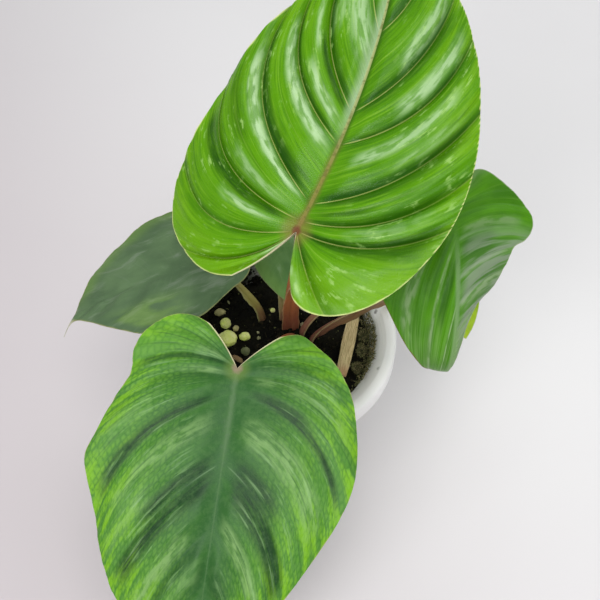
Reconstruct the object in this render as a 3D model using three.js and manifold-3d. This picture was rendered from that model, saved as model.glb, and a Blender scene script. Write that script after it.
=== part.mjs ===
// Potted creeping philodendron: a white plastic pot, soil and a young plant with six heart-shaped leaves.
// Millimetres, +Z up. The origin is the middle of the pot's flat base, and -Y faces the viewer.
import * as THREE from 'three';
import { mergeVertices } from 'three/addons/utils/BufferGeometryUtils.js';
import Module from 'manifold-3d';

const wasm = await Module();
wasm.setup();

// Driving dimensions of the pot
const POT_HEIGHT = 105;
const RIM_RADIUS = 67;
const BASE_RADIUS = 42;
const POT_WALL = 2.4;
const RIM_BAND_WIDTH = 5.2;
const SKIRT_HEIGHT = 14;
const NECK_RADIUS = 52.3;
const NECK_DROP = 10.4;
const DRAIN_RADIUS = 4;
const DRAIN_RING = 26;
const DRAIN_COUNT = 4;
const POT_SIDES = 40;

// Driving dimensions of the soil
const SOIL_LEVEL = 95;
const SOIL_MOUND = 2.2;
const SOIL_LUMP = 0.9;
const SOIL_RINGS = 6;
const SOIL_SIDES = 30;

// Every piece keeps this gap to the one it touches
const GAP = 0.3;

// Driving dimensions of the rooted stem under the soil
const STEM_RADIUS = 5.6;
const STEM_AXIS_LEVEL = 86;
const NODE_TOP = 93.4;
const NODE_RADIUS = 4.4;
const ROOT_RADIUS = 1.5;
const ROOT_COUNT = 4;

// Driving dimensions that all the blades share
const BLADE_THICKNESS = 0.9;
const CURL_SPAN = 60;
const SINUS_BOW = 0.07;
const LAST_VEIN_SHARE = 0.93;
const VEIN_SLACK = 1e-6;
const SWELL_SPAN = 18;
const HOOK_START = 0.9;
const TIP_START = 0.7;
const KEEL = 1.1;
const PETIOLE_SEAT = 2.6;
const VEIN_STEPS = [0, 0.1, 0.3, 0.55, 0.8, 1];
const ROWS_PER_VEIN = 3;

const DEGREE = Math.PI / 180;

const COLOURS = {
  pot: { color: 0xe9e8e4, roughness: 0.5 },
  soil: { color: 0x1c1712, roughness: 1.0 },
  stem: { color: 0x6d4a33, roughness: 0.8 },
  petioleRed: { color: 0x8a4a2b, roughness: 0.45 },
  petioleOlive: { color: 0x77713a, roughness: 0.45 },
  leafBright: { color: 0x4f9a26, roughness: 0.3 },
  leafDark: { color: 0x2f6b33, roughness: 0.4 },
  leafBlue: { color: 0x4a6a4c, roughness: 0.45 },
  pebble: { color: 0xc9cc7c, roughness: 0.8 },
  bark: { color: 0xb39a63, roughness: 0.85 },
  moss: { color: 0x8a8a4a, roughness: 1.0 },
};

const plant = new THREE.Group();

function addPiece(name, geometry, colour) {
  const clean = mergeVertices(bareGeometry(geometry), 1e-3);
  const piece = new THREE.Mesh(clean, new THREE.MeshStandardMaterial({ metalness: 0, ...COLOURS[colour] }));
  piece.name = name;
  plant.add(piece);
}

function bareGeometry(geometry) {
  const bare = geometry.clone();
  for (const attribute of Object.keys(bare.attributes)) {
    if (attribute !== 'position') bare.deleteAttribute(attribute);
  }
  return bare;
}

// A closed geometry as a solid that can be joined and cut, and back again

function toSolid(geometry) {
  const merged = mergeVertices(bareGeometry(geometry), 1e-4);
  const vertProperties = new Float32Array(merged.attributes.position.array);
  const triVerts = new Uint32Array(merged.index.array);
  return new wasm.Manifold(new wasm.Mesh({ numProp: 3, vertProperties, triVerts }));
}

function toGeometry(solid) {
  const { vertProperties, triVerts } = solid.getMesh();
  return meshFrom(Array.from(vertProperties), Array.from(triVerts));
}

function meshFrom(coordinates, triangles) {
  const geometry = new THREE.BufferGeometry();
  geometry.setAttribute('position', new THREE.Float32BufferAttribute(coordinates, 3));
  geometry.setIndex(triangles);
  return geometry;
}

// A closed skin over rings of points that run counter-clockwise round the direction of travel
function skinOver(rings) {
  const sides = rings[0].length;
  const coordinates = rings.flat().flatMap((point) => point.toArray());
  const triangles = [];
  for (let ring = 0; ring + 1 < rings.length; ring += 1) {
    for (let side = 0; side < sides; side += 1) {
      const a = ring * sides + side;
      const b = ring * sides + ((side + 1) % sides);
      triangles.push(a, b, b + sides, a, b + sides, a + sides);
    }
  }
  for (const [ring, backwards] of [[0, true], [rings.length - 1, false]]) {
    const middle = new THREE.Vector3();
    for (const point of rings[ring]) middle.addScaledVector(point, 1 / sides);
    const hub = coordinates.length / 3;
    coordinates.push(...middle.toArray());
    for (let side = 0; side < sides; side += 1) {
      const a = ring * sides + side;
      const b = ring * sides + ((side + 1) % sides);
      triangles.push(...(backwards ? [hub, b, a] : [hub, a, b]));
    }
  }
  return meshFrom(coordinates, triangles);
}

// Rings of a profile swept along a curve. The profile gets the share of the way and gives [across, up] pairs.
function sweptRings(curve, steps, upStart, upEnd, profile) {
  const rings = [];
  for (let step = 0; step <= steps; step += 1) {
    const share = step / steps;
    const tangent = curve.getTangentAt(share);
    const up = upStart.clone().lerp(upEnd, share);
    up.addScaledVector(tangent, -up.dot(tangent)).normalize();
    const across = new THREE.Vector3().crossVectors(up, tangent);
    const centre = curve.getPointAt(share);
    const place = ([x, y]) => centre.clone().addScaledVector(across, x).addScaledVector(up, y);
    rings.push(profile(share).map(place));
  }
  return rings;
}

function circle(radius, sides) {
  return Array.from({ length: sides }, (unused, side) => {
    const angle = (side / sides) * 2 * Math.PI;
    return [radius * Math.cos(angle), radius * Math.sin(angle)];
  });
}

// Pot: a thin moulded wall that flares to a flat rim with a turned-down skirt

const flareTop = RIM_RADIUS - RIM_BAND_WIDTH;
const neckLevel = POT_HEIGHT - NECK_DROP;
const innerBaseRadius = BASE_RADIUS - POT_WALL;

function innerWallRadius(z) {
  return innerBaseRadius + ((NECK_RADIUS - innerBaseRadius) * z) / neckLevel;
}

function potProfile() {
  const edge = 1.2;
  const lipLevel = POT_HEIGHT - POT_WALL;
  return [
    [0, 0],
    [BASE_RADIUS - edge, 0],
    [BASE_RADIUS, edge],
    [NECK_RADIUS + POT_WALL * 0.8, neckLevel - POT_WALL * 0.6],
    [flareTop + POT_WALL * 0.2, lipLevel - 0.2],
    [RIM_RADIUS - POT_WALL, lipLevel - 0.4],
    [RIM_RADIUS - POT_WALL + 0.3, POT_HEIGHT - SKIRT_HEIGHT + 0.6],
    [RIM_RADIUS - edge, POT_HEIGHT - SKIRT_HEIGHT],
    [RIM_RADIUS, POT_HEIGHT - SKIRT_HEIGHT + edge],
    [RIM_RADIUS, POT_HEIGHT - edge * 1.4],
    [RIM_RADIUS - edge * 0.5, POT_HEIGHT - edge * 0.4],
    [RIM_RADIUS - edge * 1.4, POT_HEIGHT],
    [flareTop + edge, POT_HEIGHT],
    [flareTop - edge * 0.5, POT_HEIGHT - edge * 0.7],
    [NECK_RADIUS + 0.6, neckLevel + 0.8],
    [NECK_RADIUS, neckLevel - 1],
    [innerWallRadius(POT_WALL + 2), POT_WALL + 2],
    [innerWallRadius(POT_WALL) - 1.6, POT_WALL],
    [0, POT_WALL],
  ];
}

function turned(profile, sides) {
  const lathe = new THREE.LatheGeometry(profile.map(([r, z]) => new THREE.Vector2(r, z)), sides);
  return lathe.rotateX(Math.PI / 2);
}

function makePot() {
  let pot = toSolid(turned(potProfile(), POT_SIDES));
  for (let hole = 0; hole < DRAIN_COUNT; hole += 1) {
    const angle = ((hole + 0.5) / DRAIN_COUNT) * 2 * Math.PI;
    const drain = new THREE.CylinderGeometry(DRAIN_RADIUS, DRAIN_RADIUS, 4 * POT_WALL, 12);
    drain.rotateX(Math.PI / 2).translate(DRAIN_RING * Math.cos(angle), DRAIN_RING * Math.sin(angle), 0);
    pot = pot.subtract(toSolid(drain));
  }
  addPiece('pot', toGeometry(pot), 'pot');
}

// Leaves: where each blade joins its petiole, how it lies in space, and its outline in the flat.
// Outline pairs are [across, along] from the sinus to the tip, for the halves left and right of the midrib.

function heart(halfWidth, length) {
  const shape = [
    [0.2, -0.13], [0.42, -0.19], [0.7, -0.14], [0.93, 0], [1, 0.18],
    [0.96, 0.37], [0.84, 0.54], [0.65, 0.7], [0.4, 0.84], [0.14, 0.95], [0, 1],
  ];
  return shape.map(([x, y]) => [x * halfWidth, y * length]);
}

// Veins run from the midrib to the margin, from the sinus to the tip. Each row says how far up the midrib
// the vein starts; then, for the left and the right half, the share of the margin where it ends, how far
// it bows and where along it the bow is deepest.

function evenVeins(length) {
  const starts = [0, 0, 0.08, 0.25, 0.44, 0.62, 0.79];
  const ends = [0.11, 0.26, 0.43, 0.6, 0.74, 0.85, 0.93];
  const bows = [0.15, 0.25, 0.3, 0.27, 0.24, 0.2, 0.15];
  return starts.map((start, vein) => {
    const half = [ends[vein], bows[vein], 0.5];
    return [start * length, half, half];
  });
}

const TOP_VEINS = [
  [0, [0.13, 0.22, 0.5], [0.12, 0.12, 0.5]],
  [0, [0.34, 0.5, 0.7], [0.385, 0.2, 0.5]],
  [5, [0.54, 0.55, 0.62], [0.475, 0.22, 0.5]],
  [14, [0.745, 0.45, 0.52], [0.58, 0.18, 0.5]],
  [44, [0.81, 0.4, 0.5], [0.71, 0.25, 0.5]],
  [60, [0.885, 0.32, 0.5], [0.81, 0.18, 0.5]],
  [100, [0.96, 0.2, 0.5], [0.92, 0.2, 0.5]],
];

const FRONT_VEINS = [
  [0, [0.1, 0.15, 0.5], [0.12, 0.15, 0.5]],
  [0, [0.2, 0.25, 0.5], [0.235, 0.25, 0.5]],
  [5, [0.33, 0.3, 0.5], [0.34, 0.25, 0.5]],
  [14, [0.53, 0.37, 0.5], [0.6, 0.27, 0.5]],
  [48, [0.72, 0.25, 0.5], [0.73, 0.15, 0.5]],
  [80, [0.84, 0.2, 0.5], [0.85, 0.15, 0.5]],
  [112, [0.93, 0.15, 0.5], [0.93, 0.15, 0.5]],
];

const RIGHT_VEINS = [
  [0, [0.16, 0.1, 0.5], [0.6, 0.26, 0.55]],
  [5, [0.25, 0.2, 0.5], [0.84, 0.24, 0.52]],
  [18, [0.33, 0.2, 0.5], [0.92, 0.15, 0.5]],
  [38, [0.41, 0.1, 0.5], [0.955, 0.1, 0.5]],
  [52, [0.5, 0.1, 0.5], [0.975, 0.08, 0.5]],
  [66, [0.66, 0.1, 0.5], [0.99, 0.06, 0.5]],
];

const LEAVES = {
  top: {
    seat: [7.2, -20.5, 222], heading: 38.1, bend: -32.1, pitch: [40, 20], length: 160.2,
    roll: [0, 0], fold: [4, 4], curl: -12, veins: TOP_VEINS, quilt: 3, ruffle: 1.2, colour: 'leafBright',
    left: [[18, -37], [28, -43], [42, -45], [57, -43], [68, -36], [75, -18], [75, 6],
      [71, 36], [63, 68], [51, 96], [34, 122], [14, 144], [0, 160.2]],
    right: [[9, -19], [16, -26], [28, -27], [40, -21], [51, -9], [59, 7], [64, 30],
      [62, 54], [54, 80], [42, 106], [26, 132], [7, 153], [0, 160.2]],
  },
  front: {
    seat: [-23.8, -53.5, 152], heading: 187.2, bend: 5.4, pitch: [-15, -50], length: 156.9,
    roll: [0, 0], fold: [3, 3], curl: -12, veins: FRONT_VEINS, quilt: 2.4, ruffle: 1.6, colour: 'leafDark',
    left: [[20, -19], [30, -21], [42, -14], [53, -4], [61, 9], [66, 30], [66, 50],
      [60, 71], [49, 93], [37, 114], [21, 137], [6, 152], [0, 156.9]],
    right: [[18, -23], [28, -27], [40, -25], [50, -17], [56, -4], [56, 9], [63, 24], [68, 42],
      [71, 56], [66, 74], [58, 98], [47, 120], [27, 141], [7, 154], [0, 156.9]],
  },
  left: {
    seat: [-36.8, 23.5, 150], heading: -108.9, bend: 7.4, pitch: [0, -38.3], length: 106,
    roll: [0, 0], fold: [0, 0], curl: -10, veins: evenVeins(106), quilt: 1.5, ruffle: 0.8, colour: 'leafBlue',
    hook: -8,
    left: [[8, -12], [14, -13], [20, -8], [25, 0], [31, 11], [36, 23], [37, 38],
      [34, 52], [26, 64], [17, 76], [8, 87], [1.4, 97], [0, 106]],
    right: [[8, -13], [17, -16], [29, -12], [40, -1], [46, 14], [46, 28], [42, 43],
      [37, 56], [30, 69], [20, 81], [9, 91], [1.4, 98], [0, 106]],
  },
  right: {
    seat: [89.2, 18.5, 195], heading: 176.3, bend: 6.5, pitch: [-15, -88], length: 108,
    roll: [0, 39.3], fold: [-8, -38.3], curl: -12, veins: RIGHT_VEINS, quilt: 1.8, ruffle: 0.8,
    hook: -4, tipCurl: -50, colour: 'leafDark',
    left: [[8, -20], [19, -22], [33, -13], [45, -1], [48, 8], [44, 15], [37, 20], [34, 32],
      [31, 45], [20, 56], [11, 67], [7, 80], [6.5, 92], [4, 103], [0, 108]],
    right: [[7, -18], [18, -22], [31, -16], [41, -4], [46, 12], [45, 28], [42, 43],
      [37, 54], [29, 70], [21, 83], [14, 94], [6, 104], [0, 108]],
  },
  inner: {
    seat: [-4.9, 60, 131], heading: 157, bend: 0, pitch: [-20, -38], length: 56,
    roll: [0, 0], fold: [2, 2], curl: -12, veins: evenVeins(56), quilt: 1.2, ruffle: 0.5, colour: 'leafBlue',
    left: heart(23, 56),
    right: heart(23, 56),
  },
  young: {
    seat: [100, 37, 119], heading: 165.6, bend: 0, pitch: [-18, -34], length: 44,
    roll: [0, 0], fold: [4, 4], curl: -10, veins: evenVeins(44), quilt: 1, ruffle: 0.4, colour: 'leafBright',
    left: heart(16, 44),
    right: heart(16, 44),
  },
};

const MIDRIB_STEPS = 24;

function ramp([start, end], share) {
  return start + (end - start) * share;
}

// Directions at a distance along the midrib: forward, across to the right, and out of the upper face
function bladeDirections(leaf, along) {
  const share = along / leaf.length;
  const turnShare = THREE.MathUtils.clamp(share, -0.3, 1.2);
  const heading = (leaf.heading + leaf.bend * turnShare) * DEGREE;
  const tipShare = Math.max(0, (share - TIP_START) / (1 - TIP_START));
  const pitch = (ramp(leaf.pitch, Math.max(0, share)) + (leaf.tipCurl ?? 0) * tipShare ** 1.5) * DEGREE;
  const roll = ramp(leaf.roll, turnShare) * DEGREE;
  const level = new THREE.Vector3(Math.sin(heading), Math.cos(heading), 0);
  const forward = level.clone().multiplyScalar(Math.cos(pitch)).setZ(Math.sin(pitch));
  const flatAcross = new THREE.Vector3(Math.cos(heading), -Math.sin(heading), 0);
  const flatOut = level.clone().multiplyScalar(-Math.sin(pitch)).setZ(Math.cos(pitch));
  const across = flatAcross.clone().multiplyScalar(Math.cos(roll)).addScaledVector(flatOut, Math.sin(roll));
  const out = flatOut.clone().multiplyScalar(Math.cos(roll)).addScaledVector(flatAcross, -Math.sin(roll));
  return { forward, across, out };
}

function midribPoint(leaf, along) {
  const point = new THREE.Vector3(...leaf.seat);
  const step = along / MIDRIB_STEPS;
  for (let i = 0; i < MIDRIB_STEPS; i += 1) {
    point.addScaledVector(bladeDirections(leaf, (i + 0.5) * step).forward, step);
  }
  return point;
}

// A point of the blade, from its place in the flat and its height over the middle surface
function bladePoint(leaf, flatX, along, height) {
  const hookShare = Math.max(0, (along / leaf.length - HOOK_START) / (1 - HOOK_START));
  const x = flatX + (leaf.hook ?? 0) * hookShare ** 2;
  const { across, out } = bladeDirections(leaf, along);
  const fold = ramp(leaf.fold, THREE.MathUtils.clamp(along / leaf.length, 0, 1.2)) * DEGREE;
  const curl = (leaf.curl * DEGREE) / CURL_SPAN;
  const tilt = fold + curl * Math.abs(x);
  const reach = (Math.sin(tilt) - Math.sin(fold)) / curl;
  const rise = (Math.cos(fold) - Math.cos(tilt)) / curl;
  const side = Math.sign(x);
  const point = midribPoint(leaf, along);
  point.addScaledVector(across, side * (reach - height * Math.sin(tilt)));
  return point.addScaledVector(out, rise + height * Math.cos(tilt));
}

// A flat point part of the way out from the midrib, where count tells how many veins lie before it
function veinPoint(leaf, side, margin, count, way) {
  const half = side < 0 ? 1 : 2;
  const sinus = [0, [0, SINUS_BOW, 0.5], [0, SINUS_BOW, 0.5]];
  const tip = [LAST_VEIN_SHARE * leaf.length, [1, 0, 0.5], [1, 0, 0.5]];
  const rows = [sinus, ...leaf.veins, tip].map((row) => [row[0], ...row[half]]);
  const before = Math.min(Math.floor(count), rows.length - 2);
  const between = rows[before].map((value, index) => ramp([value, rows[before + 1][index]], count - before));
  const [start, share, bow, lean] = between;
  const origin = new THREE.Vector2(0, start);
  const end = margin.getPointAt(share);
  const chord = end.clone().sub(origin);
  const handle = origin.clone().addScaledVector(chord, lean);
  handle.add(new THREE.Vector2(chord.y, -chord.x).multiplyScalar(bow));
  const flat = origin.multiplyScalar((1 - way) ** 2);
  flat.addScaledVector(handle, 2 * way * (1 - way)).addScaledVector(end, way ** 2);
  return { flat, share };
}

// The lamina swells between sunken veins, most where they are far apart, and the margin ruffles
function bladeRelief(leaf, side, margin, count, way) {
  const between = (count + VEIN_SLACK) % 1;
  const before = Math.min(Math.floor(count + VEIN_SLACK), leaf.veins.length);
  const veins = [before, before + 1].map((vein) => veinPoint(leaf, side, margin, vein, way).flat);
  const room = Math.min(1, veins[0].distanceTo(veins[1]) / SWELL_SPAN);
  const { share } = veinPoint(leaf, side, margin, count, way);
  const swell = 1 - Math.abs(2 * between - 1) ** 1.7;
  const fromMidrib = THREE.MathUtils.smoothstep(way, 0, 0.2);
  const toMargin = 1 - 0.55 * THREE.MathUtils.smoothstep(way, 0.65, 1);
  const turns = 0.4 * (leaf.veins.length + 1);
  const ruffle = leaf.ruffle * way ** 3 * Math.sin(2 * Math.PI * turns * share + leaf.heading);
  const ends = THREE.MathUtils.smoothstep(share, 0, 0.06) * THREE.MathUtils.smoothstep(1 - share, 0, 0.1);
  return leaf.quilt * room * swell * fromMidrib * toMargin * ends + ruffle * ends;
}

function makeBlade(name, leaf) {
  const rows = (leaf.veins.length + 1) * ROWS_PER_VEIN;
  const places = new Map();
  const upper = [];
  const lower = [];
  const faces = [];
  const rim = [];

  function vertexAt(side, margin, row, column) {
    const count = row / ROWS_PER_VEIN;
    const way = VEIN_STEPS[column];
    const { flat } = veinPoint(leaf, side, margin, count, way);
    const key = `${(side * flat.x).toFixed(3)} ${flat.y.toFixed(3)}`;
    if (!places.has(key)) {
      places.set(key, upper.length);
      const relief = bladeRelief(leaf, side, margin, count, way);
      const keel = KEEL * (1 - way) ** 12 * (1 - 0.7 * Math.max(0, flat.y / leaf.length));
      upper.push(bladePoint(leaf, side * flat.x, flat.y, relief + BLADE_THICKNESS / 2));
      lower.push(bladePoint(leaf, side * flat.x, flat.y, relief - BLADE_THICKNESS / 2 - keel));
    }
    return places.get(key);
  }

  for (const side of [-1, 1]) {
    const outline = side < 0 ? leaf.left : leaf.right;
    const margin = new THREE.SplineCurve(outline.map(([x, y]) => new THREE.Vector2(x, y)));
    const last = VEIN_STEPS.length - 1;
    const corner = (row, column) => vertexAt(side, margin, row, column);
    for (let row = 0; row < rows; row += 1) {
      for (let column = 0; column < last; column += 1) {
        const near = [corner(row, column), corner(row, column + 1)];
        const far = [corner(row + 1, column + 1), corner(row + 1, column)];
        faces.push(...splitQuad([...near, ...far], side));
      }
    }
    const edge = [];
    for (let column = 0; column < last; column += 1) edge.push([corner(0, column), corner(0, column + 1)]);
    for (let row = 0; row < rows; row += 1) edge.push([corner(row, last), corner(row + 1, last)]);
    rim.push(...edge.map(([from, to]) => (side > 0 ? [from, to] : [to, from])));
  }

  const count = upper.length;
  const triangles = [];
  for (const [a, b, c] of faces) triangles.push(a, b, c, a + count, c + count, b + count);
  for (const [from, to] of rim) triangles.push(from, from + count, to + count, from, to + count, to);
  const coordinates = [...upper, ...lower].flatMap((point) => point.toArray());
  addPiece(name, meshFrom(coordinates, triangles), leaf.colour);
}

// Two triangles that face up, without those that have shrunk to a line where veins share a root
function splitQuad([a, b, c, d], side) {
  const halves = [[a, b, c], [a, c, d]].filter((tri) => new Set(tri).size === 3);
  return side > 0 ? halves : halves.map(([i, j, k]) => [i, k, j]);
}

// Petioles: each rises from its node on the stem and bends up to the underside of its blade
// Rise and reach say how far it runs straight at its foot and under the blade. Sway leans its upper part aside.

const PETIOLES = {
  top: {
    foot: [2.4, 8.6], rise: 52, reach: 20, sway: -6, facing: [0.2, -1, 0],
    halfWidth: [4.6, 3.2], wing: 1.5, frills: 5, colour: 'petioleRed',
  },
  front: {
    foot: [5.5, -1.2], rise: 30, reach: 22, facing: [-0.4, -1, 0],
    halfWidth: [3.5, 2.9], wing: 1.3, frills: 4, colour: 'petioleRed',
  },
  left: {
    foot: [-15.3, 16.9], rise: 24, reach: 16, facing: [-1, 0.2, 0],
    halfWidth: [3.2, 2.5], wing: 1.0, frills: 3, colour: 'petioleOlive',
  },
  right: {
    foot: [10.6, 5.8], rise: 30, reach: 38, facing: [1, -0.3, 0],
    halfWidth: [3.4, 2.8], wing: 1.4, frills: 5, colour: 'petioleRed',
  },
  inner: {
    foot: [-1.2, 16.4], rise: 16, reach: 18, facing: [0.1, -1, 0.6],
    halfWidth: [2.6, 1.9], wing: 0.7, frills: 2, colour: 'petioleOlive',
  },
  young: {
    foot: [16.4, 0.8], rise: 20.5, reach: 10, facing: [1, -0.4, 0.3],
    halfWidth: [2.9, 2.1], wing: 1.2, frills: 4, colour: 'petioleOlive',
  },
};

const PETIOLE_STEPS = 18;
const PETIOLE_FOOT = NODE_TOP + GAP;
const PETIOLE_DEPTH = 0.82;
const WING_EDGE = 0.35;
const FRILL = 0.35;

// Rounded below, grooved above, with a thin frilled wing along each shoulder
function petioleProfile(petiole, share) {
  const half = ramp(petiole.halfWidth, Math.min(1, share * 1.6));
  const depth = PETIOLE_DEPTH * half;
  const presence = Math.sin(Math.PI * Math.min(1, 0.02 + share * 0.98)) ** 0.6;
  const frill = FRILL * Math.sin(2 * Math.PI * petiole.frills * share);
  const wing = presence * petiole.wing * (1 + frill);
  const tip = half + wing;
  const lift = 0.3 * depth + presence * frill;
  const back = [-175, -140, -105, -75, -40, -5].map((angle) => {
    const turn = angle * DEGREE;
    return [half * Math.cos(turn), depth * Math.sin(turn)];
  });
  return [
    ...back,
    [tip, lift - WING_EDGE], [tip, lift + WING_EDGE],
    [0.5 * half, 0.42 * depth], [0, 0.3 * depth], [-0.5 * half, 0.42 * depth],
    [-tip, lift + WING_EDGE], [-tip, lift - WING_EDGE],
  ];
}

function makePetiole(name, petiole, leaf) {
  const { out, across } = bladeDirections(leaf, PETIOLE_SEAT);
  const seatDrop = BLADE_THICKNESS / 2 + KEEL + 2 * GAP;
  const end = bladePoint(leaf, 0, PETIOLE_SEAT, -seatDrop);
  const foot = new THREE.Vector3(...petiole.foot, PETIOLE_FOOT);
  const curve = new THREE.CubicBezierCurve3(
    foot,
    foot.clone().setZ(PETIOLE_FOOT + petiole.rise),
    end.clone().addScaledVector(out, -petiole.reach).add(new THREE.Vector3(petiole.sway ?? 0, 0, 0)),
    end,
  );
  const forward = new THREE.Vector3().crossVectors(out, across);
  const upStart = new THREE.Vector3(...petiole.facing).normalize();
  const rings = sweptRings(curve, PETIOLE_STEPS, upStart, forward, (share) => petioleProfile(petiole, share));
  addPiece(name, skinOver(rings), petiole.colour);
}

// Stem: a short creeping stem under the soil, with a raised node for each petiole and thick roots

const STEM_PATH = [[-24, 20], [-15, 16.4], [-5, 12.6], [3, 7.6], [10, 2.8], [18, -0.6]];

function makeStemSolid(grow) {
  const path = STEM_PATH.map(([x, y]) => new THREE.Vector3(x, y, STEM_AXIS_LEVEL));
  const curve = new THREE.CatmullRomCurve3(path);
  const up = new THREE.Vector3(0, 0, 1);
  const body = (share) => {
    const taper = Math.sin(Math.PI * (0.1 + 0.8 * share)) ** 0.3;
    return circle(STEM_RADIUS * taper + grow, 8);
  };
  let stem = toSolid(skinOver(sweptRings(curve, 8, up, up, body)));
  for (const { foot: [x, y] } of Object.values(PETIOLES)) {
    const height = NODE_TOP + grow - STEM_AXIS_LEVEL;
    const node = new THREE.CylinderGeometry(NODE_RADIUS + grow, STEM_RADIUS - 0.6 + grow, height, 8);
    node.rotateX(Math.PI / 2).translate(x, y, STEM_AXIS_LEVEL + height / 2);
    stem = stem.add(toSolid(node));
  }
  for (let root = 0; root < ROOT_COUNT; root += 1) {
    stem = stem.add(toSolid(rootGeometry(curve, root, grow)));
  }
  return stem;
}

// Roots leave the stem by turns to either side and run down to the foot of the pot
function rootGeometry(stemCurve, index, grow) {
  const share = (index + 0.7) / ROOT_COUNT;
  const side = index % 2 === 0 ? 1 : -1;
  const start = stemCurve.getPointAt(share);
  const outward = new THREE.Vector3(0.4, side, 0).normalize();
  const down = new THREE.Vector3(0, 0, -1);
  const length = 40 + 7 * ((index * 5) % 3);
  const curve = new THREE.CubicBezierCurve3(
    start,
    start.clone().addScaledVector(outward, 16),
    start.clone().addScaledVector(outward, 12).addScaledVector(down, length * 0.6),
    start.clone().addScaledVector(outward, 20).addScaledVector(down, length),
  );
  const up = new THREE.Vector3(1, 0, 0);
  const body = (way) => circle(ROOT_RADIUS * (1 - 0.45 * way) + grow, 5);
  return skinOver(sweptRings(curve, 5, up, up, body));
}

// Loose pieces that lie half sunk in the soil's top

const LUMP_LIFT = 0.22;
const PEBBLE_ROUGHNESS = 0.05;
const MOSS_ROUGHNESS = 0.16;

function soilHeight(x, y) {
  const radius = Math.hypot(x, y);
  const mound = SOIL_MOUND * Math.exp(-((radius / 30) ** 2));
  const lumps = Math.sin(x * 0.21 + 1.3) * Math.cos(y * 0.27 - 0.4) + 0.6 * Math.sin(x * 0.43 - y * 0.38);
  const edge = THREE.MathUtils.smoothstep(NECK_RADIUS - radius, 0, 8);
  return SOIL_LEVEL + (mound + SOIL_LUMP * lumps) * edge;
}

// Size is across, along and high; turn is about the vertical
const PEBBLES = [
  { at: [-35.6, 0.6], size: [10.4, 10.8, 8], turn: 0 },
  { at: [-37.9, 12.6], size: [6.8, 7.4, 5.5], turn: 20 },
  { at: [-42.0, 21.8], size: [7.6, 5, 4.2], turn: -15 },
  { at: [-25.4, 1.6], size: [6.8, 5.6, 5], turn: 10 },
  { at: [-31.2, 8.8], size: [3.8, 4, 3.4], turn: 0 },
  { at: [-24.6, -7.8], size: [6, 5.4, 4.6], turn: 30 },
  { at: [-8.6, 22.6], size: [3, 3, 2.8], turn: 0 },
  { at: [15.6, -9.6], size: [6.2, 5.6, 5], turn: 40 },
];

const MOSS_TUFTS = [
  { at: [47.2, 3.4], size: [4.6, 8.6, 5.6], turn: 0 },
  { at: [46.0, -7.4], size: [4.6, 9.2, 5.4], turn: 8 },
  { at: [42.6, -19.4], size: [4.6, 7.4, 5], turn: 20 },
];

function lumpGeometry({ at: [x, y], size, turn }, grow, roughness) {
  const lump = mergeVertices(bareGeometry(new THREE.IcosahedronGeometry(1, 1)), 1e-4);
  const position = lump.attributes.position;
  const [width, length, height] = size.map((full) => full / 2 + grow);
  for (let i = 0; i < position.count; i += 1) {
    const point = new THREE.Vector3().fromBufferAttribute(position, i);
    const lumps = Math.sin(7 * point.x + x) * Math.cos(6 * point.y + y) * Math.cos(5 * point.z);
    const bulge = 1 + roughness * lumps;
    position.setXYZ(i, point.x * width * bulge, point.y * length * bulge, point.z * height * bulge);
  }
  return lump.rotateZ(turn * DEGREE).translate(x, y, soilHeight(x, y) + LUMP_LIFT * size[2]);
}

const BARK_CHIPS = [
  { from: [43.2, 20.4], to: [33.0, -25.4], bow: 1.4, halfWidth: 4, halfHeight: 1.3, lift: 2.2 },
  { from: [-31.8, -11.4], to: [-26.4, -15.2], bow: 0.4, halfWidth: 1.5, halfHeight: 1, lift: 1.2 },
];

function chipGeometry(chip, grow) {
  const start = new THREE.Vector3(...chip.from, soilHeight(...chip.from) + chip.lift * 0.7);
  const end = new THREE.Vector3(...chip.to, soilHeight(...chip.to) + chip.lift);
  const along = end.clone().sub(start).normalize();
  const aside = new THREE.Vector3(-along.y, along.x, 0).normalize();
  const middle = start.clone().add(end).divideScalar(2).addScaledVector(aside, chip.bow);
  const curve = new THREE.QuadraticBezierCurve3(
    start.addScaledVector(along, -grow),
    middle,
    end.addScaledVector(along, grow),
  );
  const up = new THREE.Vector3(0, 0, 1);
  const body = (share) => {
    const width = chip.halfWidth * (0.55 + 0.45 * Math.sin(Math.PI * (0.12 + 0.76 * share))) + grow;
    return circle(1, 8).map(([x, y]) => [x * width, y * (chip.halfHeight + grow)]);
  };
  return skinOver(sweptRings(curve, 6, up, up, body));
}

// Soil: a filled cone frustum with a lumpy top, holes for the plant and dents for what lies on it

const HOLE_SLACK = 1.9;
const HOLE_HEIGHT = 12;
const SOIL_EDGE_DROP = 1.6;
const SOIL_EDGE_GAP = 0.8;

function soilRings() {
  const outer = (z) => innerWallRadius(z) - 1.5 * GAP;
  const floor = POT_WALL + GAP;
  const levels = [floor, floor + 2.3, SOIL_LEVEL / 2, SOIL_LEVEL - SOIL_EDGE_DROP];
  const radii = [outer(floor) - 2.3, outer(floor + 1.7), outer(SOIL_LEVEL / 2), NECK_RADIUS - SOIL_EDGE_DROP];
  const ringAt = (radius, z) => circle(radius, SOIL_SIDES).map(([x, y]) => new THREE.Vector3(x, y, z));
  const rings = levels.map((z, index) => ringAt(radii[index], z));
  for (let ring = 0; ring < SOIL_RINGS; ring += 1) {
    const radius = (NECK_RADIUS - SOIL_EDGE_GAP) * (1 - ring / SOIL_RINGS);
    rings.push(ringAt(radius, 0).map((point) => point.setZ(soilHeight(point.x, point.y))));
  }
  return rings;
}

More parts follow.
